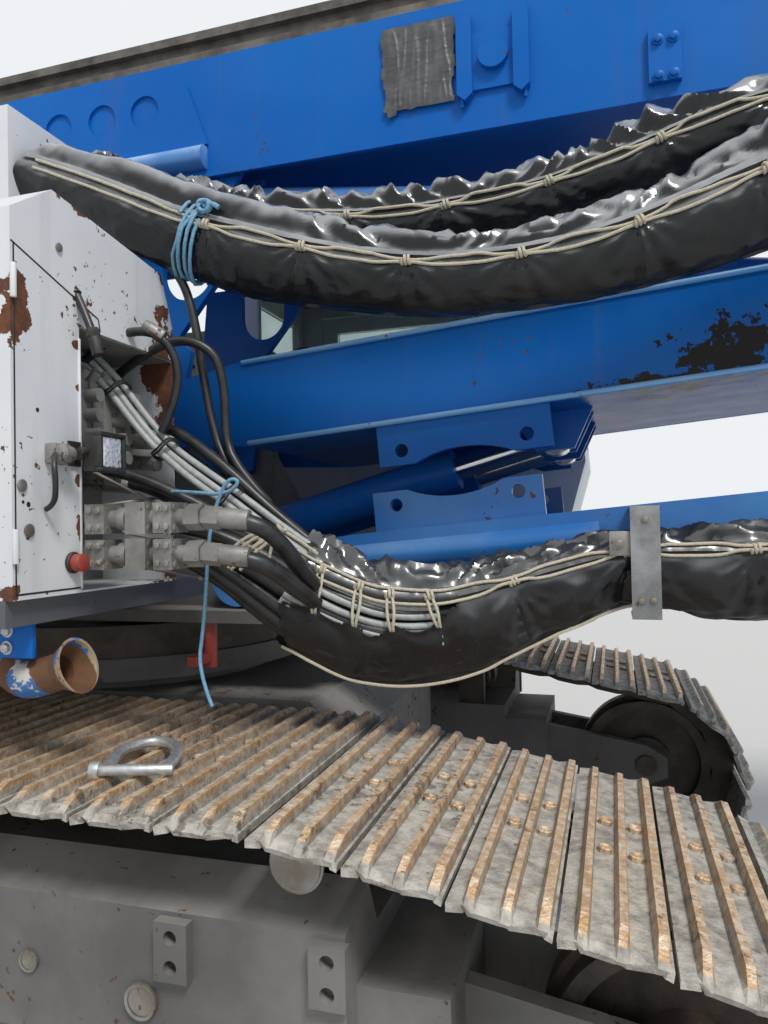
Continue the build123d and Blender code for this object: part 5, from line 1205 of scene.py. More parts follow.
def turned_rod(name, start, end, radius, sides=20, soft=0.0015, steps=()):
    """A rod from start to end with rounded rims; steps are (share of the radius, push outwards)
    that inset the far end again and again, as a turner cuts a knob."""
    start, end = Vector(start), Vector(end)
    way = (end - start).normalized()
    rod = primitive(name, bpy.ops.mesh.primitive_cylinder_add, vertices=sides, radius=radius,
                    depth=(end - start).length, location=(start + end) / 2,
                    rotation=way.to_track_quat("Z", "Y").to_euler())
    if soft:
        with editing(rod, lambda face: abs(face.normal.dot(way)) > 0.9):
            bpy.ops.mesh.bevel(offset=soft, segments=2, affect="EDGES")
    if steps:
        with editing(rod, lambda face: face.normal.dot(way) > 0.9):
            for share, push in steps:
                bpy.ops.mesh.inset(thickness=radius * share)
                bpy.ops.transform.translate(value=way * push)
    smooth_below(40)
    return rod


def front_rod(name, y, z, proud, radius, sides, sunk=0.0, **more):
    """A turned rod that stands on the cabinet's front."""
    return turned_rod(name, at(FRONT - sunk, y, z), at(FRONT + proud, y, z), radius, sides, **more)


def hex_bolt(place, out, size=0.012, sides=6):
    """A washer and a hexagon head with a chamfered top, standing on place along out."""
    place, out = Vector(place), Vector(out).normalized()
    washer = turned_rod("washer", place, place + out * size * 0.18, size * 1.35, 14, soft=size * 0.05)
    head = turned_rod("head", place + out * size * 0.15, place + out * size * 0.85, size, sides, soft=0,
                      steps=((0.12, size * 0.10),))
    return join_pieces("bolt", [washer, head])


def cord(name, points, radius, finish="hose_rubber"):
    """A free hose, cable or rope on one NURBS spline, through points given from the slewing axis."""
    points = [at(*point) for point in points]
    curve = nurbs_curve(name, points, 10)
    line = line_of(curve.copy())
    curve.bevel_depth = radius
    curve.bevel_resolution = 3
    curve.use_fill_caps = True
    piece = bpy.data.objects.new(name, curve)
    scene.collection.objects.link(piece)
    wear(piece, finish)
    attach(piece, "upper_structure")
    return piece


FRONT = 0.720
print("the cabinet's front lies at x", FRONT)

# %% Locks, slot, stop button and seams on the cabinet's front
locks = [front_rod("lock", y, z, 0.006, size, 24, steps=((0.22, -0.002), (0.35, 0.0015)))
         for y, z, size in ((-1.423, 1.691, 0.013), (-1.403, 1.592, 0.014), (-1.300, 2.260, 0.010))]
finished("cabinet_locks", locks, "bright_steel")
holes = [front_rod("hole", y, z, 0.0008, size, 12, sunk=0.001, soft=0, steps=((0.3, -0.0006),))
         for y, z, size in ((-1.402, 1.650, 0.006), (-1.372, 1.865, 0.005), (-1.418, 1.655, 0.004))]
finished("cabinet_keyholes", holes, "tie_black", "lamp_housing")
stop = front_rod("stop_button", -1.263, 1.514, 0.030, 0.021, 28, soft=0.004,
                 steps=((0.15, 0.004), (0.3, 0.003)))
finished("stop_button", [stop], "red_paint")
collar = front_rod("stop_collar", -1.263, 1.514, 0.008, 0.026, 28, steps=((0.1, 0.002),))
finished("stop_collar", [collar], "lamp_housing")
seams = []
for (y0, z0), (y1, z1) in (((-1.448, 2.226), (-1.157, 2.126)), ((-1.157, 2.126), (-1.150, 2.095)),
                           ((-1.440, 1.450), (-1.440, 2.222)), ((-1.440, 1.452), (-1.232, 1.452))):
    long = math.hypot(y1 - y0, z1 - z0)
    seam = soft_block("seam", at(FRONT - 0.001, -0.0022, 0), at(FRONT + 0.0008, 0.0022, long), soft=0.0003,
                      segments=1)
    lean = Matrix.Rotation(math.atan2(y0 - y1, z1 - z0), 4, "X")
    seam.data.transform(Matrix.Translation((0, y0, z0)) @ lean)
    seams.append(seam)
finished("cabinet_seams", seams, "tie_black", "lamp_housing")
# folded edge of the door sheet, beside the open recess
edge = soft_block("door_edge", at(FRONT - 0.016, -1.2335, 1.450), at(FRONT + 0.004, -1.2285, 2.060),
                  soft=0.0015)
finished("door_edge", [edge], "white_paint")
hinges = [turned_rod("cabinet_hinge", at(FRONT + 0.006, -1.447, z), at(FRONT + 0.006, -1.447, z + 0.075),
                     0.007, 16) for z in (1.52, 2.10)]
finished("cabinet_hinges", hinges, "white_paint")
print("locks, holes, stop button and seams are on")

# %% The work lamp: faceted lens in its bezel, a cable gland and a small bracket
lens_glass, shader, where = set_up_material("lamp_lens_ribbed")
ribs = add_node(where, "TexVoronoi", {"Scale": 90.0, "Vector": where}).outputs["Distance"]
feed(shader, "Base Color", layer((0.62, 0.65, 0.68), (0.86, 0.88, 0.90), ribs))
feed(shader, "Roughness", step_node(ribs, 0, 1, 0.10, 0.30))
feed(shader, "Metallic", 0.35)
bump(shader, ribs, 0.003)
LAMP_Z = 1.775
lamp_low, lamp_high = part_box("work_lamp")
lamp_front = lamp_high.x
lens = soft_block("lamp_lens", (lamp_front - 0.004, lamp_low.y + 0.010, LAMP_Z - 0.036),
                  (lamp_front + 0.005, -1.205, LAMP_Z + 0.036), soft=0.004)
finished("lamp_lens", [lens], lens_glass, "window_glass")
rim = []
for y0, y1, z0, z1 in ((-1.288, -1.192, 1.812, 1.822), (-1.288, -1.192, 1.728, 1.738),
                       (-1.288, -1.278, 1.738, 1.812), (-1.202, -1.192, 1.738, 1.812)):
    rim.append(soft_block("rim", (lamp_front - 0.012, y0, z0), (lamp_front + 0.009, y1, z1), soft=0.0025))
for y in (-1.300, -1.180):
    rim.append(turned_rod("lamp_pivot", (lamp_front - 0.03, y - 0.010, LAMP_Z),
                          (lamp_front - 0.03, y + 0.010, LAMP_Z), 0.009, 14))
finished("lamp_rim", rim, "lamp_housing")
gland = [turned_rod("gland", at(FRONT + 0.030, -1.342, 1.768), at(FRONT + 0.030, -1.300, 1.768), 0.019, 18),
         turned_rod("gland_ring", at(FRONT + 0.030, -1.338, 1.768), at(FRONT + 0.030, -1.326, 1.768),
                    0.022, 18),
         soft_block("gland_plate", at(FRONT, -1.352, 1.745), at(FRONT + 0.030, -1.296, 1.792), soft=0.004)]
finished("lamp_gland", gland, "pipe_brass")
cord("lamp_cable", ((0.744, -1.345, 1.766), (0.768, -1.378, 1.750), (0.772, -1.376, 1.690),
                    (0.752, -1.358, 1.650), (0.726, -1.354, 1.640)), 0.0065)
print("lamp is dressed, front at", round(lamp_front, 3))

# %% [markdown]
# Behind the lamp the recess holds the control valve: sections side by side with caps, thin
# levers with ball ends, adapters and a row of hose ends. From here the light-grey cables swing
# down and to the right in one bundle, tied twice, and dive into the open sleeve below.

# %% Valve sections, caps and levers
VALVE_SECTIONS = 6
sections = []
for row in range(VALVE_SECTIONS):
    y = -1.165 + row * 0.044
    sections.append(soft_block("section", at(0.600, y, 1.800), at(0.640, y + 0.038, 1.965), soft=0.004))
    sections.append(turned_rod("cap", at(0.600, y + 0.019, 1.975), at(0.640, y + 0.019, 2.020), 0.014, 14,
                               steps=((0.3, -0.004),)))
    sections.append(soft_block("cap_block", at(0.575, y + 0.002, 1.962), at(0.630, y + 0.036, 1.990),
                               soft=0.003))
finished("valve_sections", sections, "valve_grey")
levers = []
for y0, z0, reach, drop in ((-1.150, 1.600, 0.17, -0.050), (-1.135, 1.515, 0.24, -0.060),
                            (-1.120, 1.655, 0.26, 0.040), (-1.160, 1.740, 0.30, -0.150)):
    start, end = at(0.700, y0, z0), at(0.840, y0 + reach, z0 + drop)
    levers.append(turned_rod("lever", start, end, 0.0048, 10))
    tip = end + (end - start).normalized() * 0.010
    ball = primitive("ball", bpy.ops.mesh.primitive_uv_sphere_add, segments=14, ring_count=9, radius=0.012,
                     location=tip)
    with editing(ball):
        bpy.ops.transform.resize(value=(1.0, 1.12, 0.92), center_override=tip)
    smooth_below(60)
    levers.append(ball)
finished("valve_levers", levers, "bright_steel")
adapters = []
for y, z in ((-0.905, 1.905), (-0.905, 1.850), (-0.870, 1.790), (-1.060, 1.740), (-1.000, 1.720)):
    adapters.append(turned_rod("adapter", at(0.470, y, z), at(0.640, y, z), 0.018, 6, soft=0.001))
    adapters.append(turned_rod("ferrule", at(0.600, y, z), at(0.700, y, z - 0.010), 0.0215, 16))
finished("valve_adapters", adapters, "pipe_brass")
print("valve with", VALVE_SECTIONS, "sections")

# %% Flanged pipes: bolts, clamp rings and dust
PIPE_Y = -1.200
clamps = []
for z in (1.617, 1.531):
    for x in (0.782, 0.898, 0.970):
        for dy, dz in ((-0.024, 0.024), (0.024, 0.024), (-0.024, -0.024), (0.024, -0.024)):
            clamps.append(hex_bolt(at(x, PIPE_Y + dy, z + dz), (1, 0, 0), 0.0085))
    for x in (0.750, 0.775, 0.938, 0.962):
        for dz in (-0.021, 0.021):
            clamps.append(hex_bolt(at(x, PIPE_Y - 0.036, z + dz), (0, -1, 0), 0.0092))
    clamps.append(turned_rod("pipe_ring", at(0.812, PIPE_Y, z), at(0.838, PIPE_Y, z), 0.028, 20))
    clamps.append(turned_rod("pipe_nut", at(1.040, PIPE_Y, z), at(1.085, -1.198, z - 0.004), 0.027, 6,
                             soft=0.001))
    ferrule_ends = at(1.075, -1.198, z - 0.002), at(1.150, -1.185, z - 0.010)
    clamps.append(turned_rod("hose_ferrule", *ferrule_ends, 0.0245, 20))
finished("pipe_bolts", clamps, "pipe_brass")
print("pipe fittings", len(clamps))

# %% [markdown]
# Every free cable starts at a fitting, leaves it straight, and then hangs under its weight. A line is one smooth
# spline with a few control points, because points along arcs look like bent wire.

# %% Light-grey cables, black hoses and the loop over the recess
# the middle cable's line; the others lie beside it, and one tie draws them together
TIED_POINT = 4
GREY_LINE = ((0.500, -1.060, 2.104), (0.565, -1.045, 2.090), (0.640, -1.010, 2.005), (0.718, -0.985, 1.890),
              (0.785, -0.975, 1.812), (0.880, -0.985, 1.745), (1.000, -0.985, 1.665), (1.110, -0.960, 1.575),
              (1.210, -0.930, 1.500))
for index, (dx, dy, dz) in enumerate(((0.0, 0.0, 0.0), (0.006, 0.020, 0.012), (0.002, -0.016, -0.022))):
    route = [(x + dx * (1 + k * 0.3), y + dy, z + dz * (1.0 if k != TIED_POINT else 0.75))
             for k, (x, y, z) in enumerate(GREY_LINE)]
    cord("grey_cable_" + str(index + 1), route, 0.0095, "cable_grey")
BLACK_LINES = (
    ((0.608, -0.890, 1.905), (0.740, -0.905, 1.890), (0.850, -0.920, 1.830), (0.960, -0.920, 1.745),
     (1.080, -0.905, 1.630), (1.200, -0.880, 1.530)),
    ((0.606, -0.890, 1.852), (0.740, -0.880, 1.838), (0.840, -0.890, 1.778), (0.950, -0.890, 1.690),
     (1.070, -0.880, 1.590), (1.200, -0.860, 1.505)),
    ((0.672, -1.082, 1.752), (0.750, -1.066, 1.735), (0.850, -1.045, 1.690), (0.950, -1.020, 1.640),
     (1.060, -0.980, 1.560), (1.170, -0.930, 1.470)),
    ((0.690, -1.000, 1.718), (0.760, -1.010, 1.706), (0.850, -1.020, 1.662), (0.950, -1.000, 1.600),
     (1.060, -0.955, 1.510), (1.170, -0.920, 1.430)),
    ((1.056, -1.192, 1.612), (1.110, -1.190, 1.611), (1.180, -1.170, 1.590), (1.205, -1.120, 1.545),
     (1.215, -1.050, 1.490), (1.222, -0.975, 1.440)),
    ((1.056, -1.192, 1.524), (1.108, -1.190, 1.523), (1.178, -1.168, 1.505), (1.200, -1.110, 1.470),
     (1.212, -1.040, 1.430), (1.222, -0.965, 1.395)),
)
for index, points in enumerate(BLACK_LINES):
    radius = 0.0155 if index < 4 else 0.0215
    cord("black_hose_" + str(index + 1), points, radius)
LOOP_LINES = (
    ((0.520, -0.900, 1.996), (0.640, -0.930, 2.060), (0.800, -0.930, 2.130), (0.905, -0.900, 2.090),
     (0.925, -0.880, 1.985), (0.915, -0.865, 1.850), (0.955, -0.880, 1.760), (1.060, -0.890, 1.654)),
    ((0.612, -0.888, 2.424), (0.700, -0.880, 2.400), (0.785, -0.870, 2.320), (0.822, -0.865, 2.200),
     (0.842, -0.860, 2.050), (0.862, -0.855, 1.920), (0.905, -0.862, 1.780), (1.000, -0.878, 1.664)),
    ((0.470, -1.060, 2.020), (0.570, -1.050, 2.035), (0.680, -1.040, 2.120), (0.790, -1.020, 2.128),
     (0.842, -0.990, 2.060), (0.832, -0.972, 1.950), (0.778, -0.970, 1.858)),
)
for index, (points, radius) in enumerate(zip(LOOP_LINES, (0.0135, 0.0125, 0.0120))):
    cord("loop_hose_" + str(index + 1), points, radius)
loop_end = [turned_rod("loop_ferrule", at(0.765, -1.026, 2.140), at(0.815, -1.008, 2.108), 0.0175, 18),
            turned_rod("loop_ferrule", at(0.470, -0.896, 2.000), at(0.550, -0.908, 2.040), 0.0185, 18),
            turned_rod("loop_ferrule", at(0.440, -1.062, 2.020), at(0.510, -1.056, 2.022), 0.0185, 18)]
finished("loop_ferrules", loop_end, "pipe_brass")


def tie_ring(place, lean, size, count):
    """The points of a ring round a cable that falls with a lean, and the way it runs there."""
    way = Vector((math.cos(lean), 0.0, -math.sin(lean)))
    ring = [(t, place + Vector((way.z * math.cos(t), math.sin(t), -way.x * math.cos(t))) * size)
            for t in np.linspace(0, 2 * math.pi, count)]
    return ring, way


ties = []
for x, y, z, lean, size in ((0.792, -0.978, 1.812, 0.9, 0.037), (0.990, -0.985, 1.672, 0.75, 0.040),
                            (0.660, -1.004, 1.978, 1.05, 0.036)):
    ring, way = tie_ring(at(x, y, z), lean, size, 26)
    turns = [point + way * 0.004 * math.sin(t * 3) for t, point in ring]
    ties.append(tube_mesh("tie", turns, 0.0032, 6))
    ties.append(tube_mesh("tie", [p + way * 0.008 for p in turns], 0.0032, 6))
finished("cable_ties", ties, "tie_black")
print("cables and hoses are laid")

# %% The cable that comes down over the cabinet's lid, with its plug
plug = [turned_rod("plug", at(0.768, -1.238, 2.062), at(0.782, -1.238, 2.012), 0.0145, 20,
                   steps=((0.25, -0.003),)),
        turned_rod("plug_nut", at(0.764, -1.238, 2.078), at(0.769, -1.238, 2.056), 0.0165, 8, soft=0.001)]
plug_piece = finished("lid_cable_plug", plug, "lamp_housing")
cord("lid_cable", ((0.430, -1.255, 2.400), (0.520, -1.240, 2.418), (0.590, -1.236, 2.385),
                   (0.655, -1.232, 2.290), (0.705, -1.232, 2.190), (0.748, -1.236, 2.110),
                   (0.772, -1.238, 2.050)),
     0.0100)
wraps = []
for x, z, lean in ((0.545, 2.410, 0.45), (0.622, 2.340, 0.95), (0.668, 2.262, 1.10), (0.716, 2.170, 1.10)):
    ring, way = tie_ring(at(x, -1.235, z), lean, 0.0118, 20)
    turns = [point for t, point in ring]
    wraps.append(tube_mesh("wrap", turns, 0.0024, 6))
    tail_end = turns[3] + way * 0.01 + Vector((0, -0.020, 0.010))
    wraps.append(tube_mesh("wrap_tail", [turns[3], tail_end], 0.0018, 6))
finished("lid_cable_wraps", wraps, "tie_black")
print("lid cable is on")

# %% [markdown]
# In the slack mouth of the lower sleeve the inner hoses show. Cords cross the slit from eyelet to
# eyelet, a pale piping edges the lower hem, and the end of the cord is tied in a loose bunch.

# %% Inside the open mouth
lower = SLEEVES["sleeve_lower"]


def inner_line(angle, share, low, high):
    """Points inside the lower sleeve at one angle and a share of its radius, from x = low to high."""
    line = []
    for index in range(0, len(lower.x), 6):
        x = lower.x[index]
        if low <= x <= high:
            lift = (share - 1) * lower.rows[index, 4] + 0.012 * noise_at(x * 5, angle * 3, 2)
            line.append(surface_point(lower, index, angle, lift))
    return line


# angle, share of the sleeve's radius and own radius of each
HOSES = ((0.95, 0.66, 0.019), (0.62, 0.66, 0.021), (0.30, 0.70, 0.020), (-0.10, 0.68, 0.023),
         (-0.48, 0.70, 0.020), (-0.85, 0.68, 0.022), (-1.25, 0.66, 0.020), (0.10, 0.30, 0.024),
         (-0.75, 0.30, 0.024), (1.45, 0.62, 0.020), (-1.75, 0.60, 0.022))
CABLES = ((0.40, 0.80, 0.0095), (0.24, 0.84, 0.0095), (0.06, 0.84, 0.0095), (-0.14, 0.84, 0.0095),
          (-0.28, 0.82, 0.0110))
for name, finish, lines, low, high in (("inner_hoses", "hose_rubber", HOSES, 0.83, 1.72),
                                       ("inner_cables", "cable_grey", CABLES, 1.10, 1.55)):
    inner = [smooth_tube("inner", inner_line(angle, share, low, high), radius)
             for angle, share, radius in lines]
    blended(name, inner, finish)
print("inner hoses", len(HOSES), "and cables", len(CABLES))

# %% Cords across the slit, the piping and the loose bunch
crossing = []
for x, shift in ((1.170, 0.03), (1.270, 0.02), (1.365, 0.02), (1.485, 0.02)):
    high, low = nearest_row(lower, x), nearest_row(lower, x + shift)
    slit_edge = slit_low(lower.x[low])
    for doubled in (-0.006, 0.006):
        top = Vector(surface_point(lower, high, 0.56, 0.010)) + Vector((doubled, 0, 0))
        bottom = Vector(surface_point(lower, low, slit_edge - 0.07, 0.009)) + Vector((doubled * 0.6, 0, 0))
        bow = (top + bottom) / 2 + Vector((0.004 + doubled, -0.010, 0))
        ends = top + Vector((0, 0.012, 0.004)), bottom + Vector((0, 0.010, -0.004))
        crossing.append(smooth_tube("crossing", [ends[0], top, bow, bottom, ends[1]], 0.0040, 7))
    crossing.append(row_hitch(lower, high, 0.56, 0.010, 0.0100))
BUNCH = (
    ((1.162, -1.040, 1.585), (1.120, -1.062, 1.572), (1.070, -1.068, 1.545), (1.040, -1.066, 1.512),
     (1.026, -1.060, 1.490)),
    ((1.162, -1.042, 1.580), (1.125, -1.058, 1.558), (1.085, -1.066, 1.532), (1.055, -1.066, 1.500),
     (1.034, -1.060, 1.486)),
    ((1.160, -1.044, 1.588), (1.108, -1.066, 1.578), (1.058, -1.072, 1.552), (1.030, -1.070, 1.520),
     (1.040, -1.064, 1.496), (1.066, -1.064, 1.510), (1.100, -1.064, 1.546), (1.140, -1.052, 1.570)),
    ((1.158, -1.046, 1.576), (1.132, -1.060, 1.548), (1.092, -1.068, 1.520), (1.062, -1.066, 1.484)),
    ((1.160, -1.040, 1.585), (1.200, -1.020, 1.560), (1.240, -0.990, 1.520)),
)
crossing += [smooth_tube("bunch", [at(*point) for point in points], 0.0046, 7) for points in BUNCH]
crossing.append(hitch(at(1.157, -1.046, 1.581), (0.8, 0.1, 0.5), (0, -1, 0), 0.0115))
centre = at(1.155, -1.045, 1.582)
for drop, sway in ((0.060, 0.02), (0.085, -0.02)):
    hanging = [centre + Vector(step) for step in (
        (0, 0, 0), (sway * 0.5, -0.014, -drop * 0.35), (sway, -0.010, -drop))]
    crossing.append(smooth_tube("bunch_end", hanging, 0.0042, 7))
blended("slit_cords", crossing, "rope_cream")

PIPING_ANGLE = -1.12
piping = []
for index in range(0, len(lower.x), 4):
    if 1.17 <= lower.x[index] <= 2.02:
        sag = 0.010 * noise_at(lower.x[index] * 4, PIPING_ANGLE, 5)
        lift = 0.007 + max(0.0, vinyl_height(lower, lower.runs[index], PIPING_ANGLE))
        piping.append(surface_point(lower, index, PIPING_ANGLE + sag, lift))
blended("sleeve_piping", [smooth_tube("piping", piping, 0.0042, 7)], "rope_cream")
print("pieces of cord over the slit", len(crossing))

# %% Blue rope round the upper bundle, and its tail beside the cabinet
ROPE_TURNS = 4
STEPS_A_TURN = 18
upper = SLEEVES["sleeve_upper"]
first, last = nearest_row(upper, 0.808), nearest_row(upper, 0.868)
turns = []
for share in np.arange(ROPE_TURNS * STEPS_A_TURN + 1) / (ROPE_TURNS * STEPS_A_TURN):
    angle = 2 * math.pi * ROPE_TURNS * share + 0.4
    index = int(round(first + (last - first) * share))
    turns.append(surface_point(upper, index, angle, 0.012 + 0.003 * math.sin(angle * 1.7)))
wrapped = [tube_mesh("turns", turns, 0.0052, 9)]
knot_place = Vector(surface_point(upper, last, 0.75, 0.020))
for t0, size in ((0.0, 0.021), (1.7, 0.017), (3.1, 0.019)):
    ring = [knot_place + Vector((math.cos(t + t0) * size, -0.010 + math.sin(t * 2 + t0) * 0.008,
                                 math.sin(t + t0) * size * 0.8)) for t in np.linspace(0, 5.9, 9)]
    wrapped.append(smooth_tube("blue_knot", ring, 0.0055, 8))
loose_end = [knot_place + Vector(step) for step in ((0, 0, 0), (0.02, -0.018, 0.010), (0.045, -0.012, -0.012))]
wrapped.append(smooth_tube("blue_end", loose_end, 0.0068, 8))
finished("blue_rope_turns", wrapped, "rope_blue")
cord("blue_rope_tail", ((0.862, -1.054, 1.688), (0.930, -1.078, 1.684), (1.035, -1.084, 1.672),
                        (1.078, -1.085, 1.706), (1.040, -1.086, 1.716), (1.000, -1.086, 1.630),
                        (0.984, -1.087, 1.545), (0.980, -1.090, 1.450), (0.969, -1.090, 1.335),
                        (0.952, -1.090, 1.235), (0.990, -1.088, 1.145)),
     0.0048, "rope_blue")
print("blue rope is on")

# %% Bracket over the pipe elbow and the shackle that lies on the track
bracket = soft_block("elbow_bracket", at(0.588, -1.352, 1.298), at(0.682, -1.338, 1.388), soft=0.004)
finished("elbow_bracket", [bracket], "blue_paint")
bolts_here = [hex_bolt(at(x, -1.352, z), (0, -1, 0), 0.012) for x, z in ((0.612, 1.362), (0.610, 1.322))]
finished("elbow_bolts", bolts_here, "galvanised")
BOW = ((0.893, -1.362, 1.064), (0.852, -1.300, 1.066), (0.826, -1.215, 1.068), (0.862, -1.140, 1.068),
       (0.932, -1.160, 1.067), (0.985, -1.230, 1.064), (1.002, -1.322, 1.062))
shackle = [smooth_tube("bow", [at(*point) for point in BOW], 0.0125, 12),
           turned_rod("pin", at(0.872, -1.372, 1.066), at(1.022, -1.314, 1.062), 0.0125, 16),
           turned_rod("pin_head", at(0.856, -1.378, 1.067), at(0.876, -1.371, 1.066), 0.020, 18, soft=0.002)]
finished("track_shackle", shackle, "galvanised", body="undercarriage")
print("bracket and shackle are on")
# %% [markdown]
# The manifold cabinet and the pipe elbow have lost their paint in known places: a rust patch at
# the left seam, torn brown spots round the open recess, white and bare steel under the elbow's
# blue. A noise alone would put them anywhere, so each patch is a group with its own centre and
# half size, and noise only frays its rim.

# %% Patches where the paint has come off
CABINET_PATCHES = (
    (-1.462, -1.394, 1.990, 2.170, 0.5), (-0.935, -0.780, 1.850, 2.195, 0.55),
    (-1.250, -1.205, 2.028, 2.060, 0.7), (-1.246, -1.212, 1.925, 1.950, 0.7),
    (-1.250, -1.225, 1.700, 1.724, 0.7), (-1.246, -1.222, 1.560, 1.640, 0.8),
    (-0.96, -0.80, 1.440, 1.560, 0.7), (-1.46, -1.43, 1.440, 1.475, 0.7), (-1.30, -1.10, 2.372, 2.392, 0.9),
    (-0.90, -0.78, 2.300, 2.340, 0.8),
)


def spot(x, y, z, *rest):
    """A patch or stain from its centre, half size, raggedness and colour."""
    return (tuple(at(x, y, z)), *rest)


cabinet_patches = [spot(0.71, (y0 + y1) / 2, (z0 + z1) / 2, (0.09, (y1 - y0) / 2, (z1 - z0) / 2), ragged)
                   for y0, y1, z0, z1, ragged in CABINET_PATCHES]
cabinet_white = weathered_paint(
    "cabinet_white_torn", (0.80, 0.82, 0.84), (0.70, 0.72, 0.75), 0.15, 0.46, 0.34, rough=0.44, coat=0.15,
    chip_scale=1.5, patches=cabinet_patches, chip_colour=(0.105, 0.040, 0.022))
elbow_blue = weathered_paint(
    "elbow_blue_torn", (0.012, 0.130, 0.430), (0.030, 0.170, 0.480), 0.25, 0.75, 0.3, rough=0.42, coat=0.1,
    chip_scale=2.4,
    patches=(spot(0.735, -1.300, 1.266, (0.110, 0.0590, 0.0590), 0.06),
             spot(0.680, -1.375, 1.215, (0.060, 0.030, 0.030), 0.7),
             spot(0.590, -1.350, 1.255, (0.018, 0.080, 0.070), 0.7)),
    stains=(spot(0.640, -1.345, 1.262, (0.045, 0.060, 0.045), 0.65, (0.62, 0.60, 0.54)),
            spot(0.730, -1.330, 1.215, (0.030, 0.060, 0.030), 0.7, (0.66, 0.64, 0.58)),
            spot(0.772, -1.300, 1.279, (0.030, 0.14, 0.14), 0.35, (0.40, 0.30, 0.20))),
    chip_colour=(0.13, 0.065, 0.035))
# the side decks and their ribs are painted dark grey-blue: painted shade under the cabinet
deck_grey_shade = weathered_paint(
    "deck_grey_shaded", (0.070, 0.080, 0.100), (0.10, 0.105, 0.115), 0.45, 0.45, 0.5, rough=0.55, coat=0.0,
    dust_and_sheen_colour=(0.20, 0.19, 0.18), chip_colour=(0.10, 0.055, 0.035))
# the near-black stains on the arm's right part are partly grease and partly painted shadow
arm_blue = weathered_paint(
    "arm_blue_grease_and_shadow", (0.0008, 0.098, 0.400), (0.003, 0.120, 0.450), 0.10, 0.30, 0.24, rough=0.34, coat=0.06,
    specular=0.14,
    stains=(spot(2.330, -0.62, 2.060, (0.180, 0.30, 0.075), 0.8, (0.014, 0.011, 0.010)),
            spot(2.560, -0.62, 2.020, (0.230, 0.30, 0.085), 0.8, (0.012, 0.010, 0.009)),
            spot(2.120, -0.62, 1.985, (0.200, 0.30, 0.022), 0.9, (0.020, 0.014, 0.011))))
# the lower arm and tilt barrels get a pale blue layer on what faces up: a painted highlight
tube_blue_highlit = weathered_paint(
    "tube_blue_painted_highlight", (0.004, 0.150, 0.520), (0.030, 0.220, 0.580), 0.55, 0.30, 0.30, rough=0.28, coat=0.30,
    specular=0.35, dust_and_sheen_colour=(0.26, 0.40, 0.60))
for node_name, finish in (("manifold_cabinet", cabinet_white), ("stub_pipe", elbow_blue),
                          ("upper_arm", arm_blue), ("side_decks", deck_grey_shade), ("hose_bracket", paints["dull_zinc"]),
                          ("lower_arm", tube_blue_highlit), ("tilt_barrels", tube_blue_highlit)):
    dress_node(node_name, finish)
print("patches on the cabinet", len(cabinet_patches))

# %% Rims of the upper arm: worn edge paint, lighter blue as a painted glint
ARM_FOOT, ARM_HEAD = at(0.350, 0, 1.970), at(3.150, 0, 2.205)
RIM_FROM_PIN = 0.445
arm_way = (ARM_HEAD - ARM_FOOT).normalized()
arm_up = Vector((-arm_way.z, 0, arm_way.x))
rims = []
for level, out, radius in ((0.137, 0.503, 0.0085), (-0.136, 0.51004, 0.0090)):
    for side in (-1, 1):
        aside = arm_up * level + Vector((0, side * out, 0))
        rims.append(turned_rod("rim", ARM_FOOT + arm_way * RIM_FROM_PIN + aside,
                               ARM_HEAD - arm_way * RIM_FROM_PIN + aside, radius, 10))
# the rims are lighter blue with a pale layer on top: worn edges, and a painted glint
rim_blue_glint = weathered_paint(
    "rim_blue_worn_glint", (0.060, 0.300, 0.680), (0.200, 0.430, 0.740), 0.30, 0.35, 0.15, rough=0.30, coat=0.2,
    specular=0.4, dust_and_sheen_colour=(0.60, 0.66, 0.72), chip_scale=2.2)
finished("arm_rims", rims, rim_blue_glint, "blue_paint", body="upper_arm")
# the recess shows a strip of torn sheet behind the panel's edge
strip = soft_block("strip", at(0.596, -1.075, 1.893), at(0.606, -0.805, 1.998), soft=0.002)
finished("recess_strip", [strip], cabinet_white, "white_paint")
print("rims on the upper arm", len(rims))

# %% [markdown]
# The side of the mast wears a patch of dark tape whose fabric has puckered, bolts on a small plate, weld beads
# beside two upright bars, and a rolled lower edge whose pale top is a painted glint.
# The tape is a grid laid on the plate: its rim is torn by moving rim points, and its folds run
# upwards.

# %% Tape patch on the mast
MAST_SIDE = -0.4615
TAPE_COLUMNS, TAPE_ROWS = 74, 86
TAPE_WIDE, TAPE_HIGH = 0.232, 0.270


def tape_place(across, up):
    """A point of the tape from its shares of the width and the height."""
    torn = 0.004 * noise_at(up * 7, 1.0, 4.0) + 0.006 * round(noise_at(up * 3, 7, 4) * 2)
    tear = 0.005 * noise_at(across * 9, 2.0, 6.0) + 0.016 * round(noise_at(across * 4, 9, 2) * 2) * (1 - up)
    x = 1.283 + TAPE_WIDE * across + torn * (1 if across > 0.5 else -1) * (abs(across - 0.5) * 2) ** 8
    z = 2.920 + TAPE_HIGH * up + tear * (abs(up - 0.5) * 2) ** 8
    rim = min(1.0, min(across, 1 - across, up, 1 - up) * 14)
    wrinkle = max(0.0, 1 - abs(noise_at(across * 10 + 3, up * 1.6, 1.5)) * 3.2)
    pucker = max(0.0, 1 - abs(noise_at(across * 3, up * 13, 8.5)) * 5.0) * 0.4
    proud = 0.0012 + rim * (0.0035 * wrinkle + 0.0020 * pucker)
    return at(x, MAST_SIDE - proud, z)


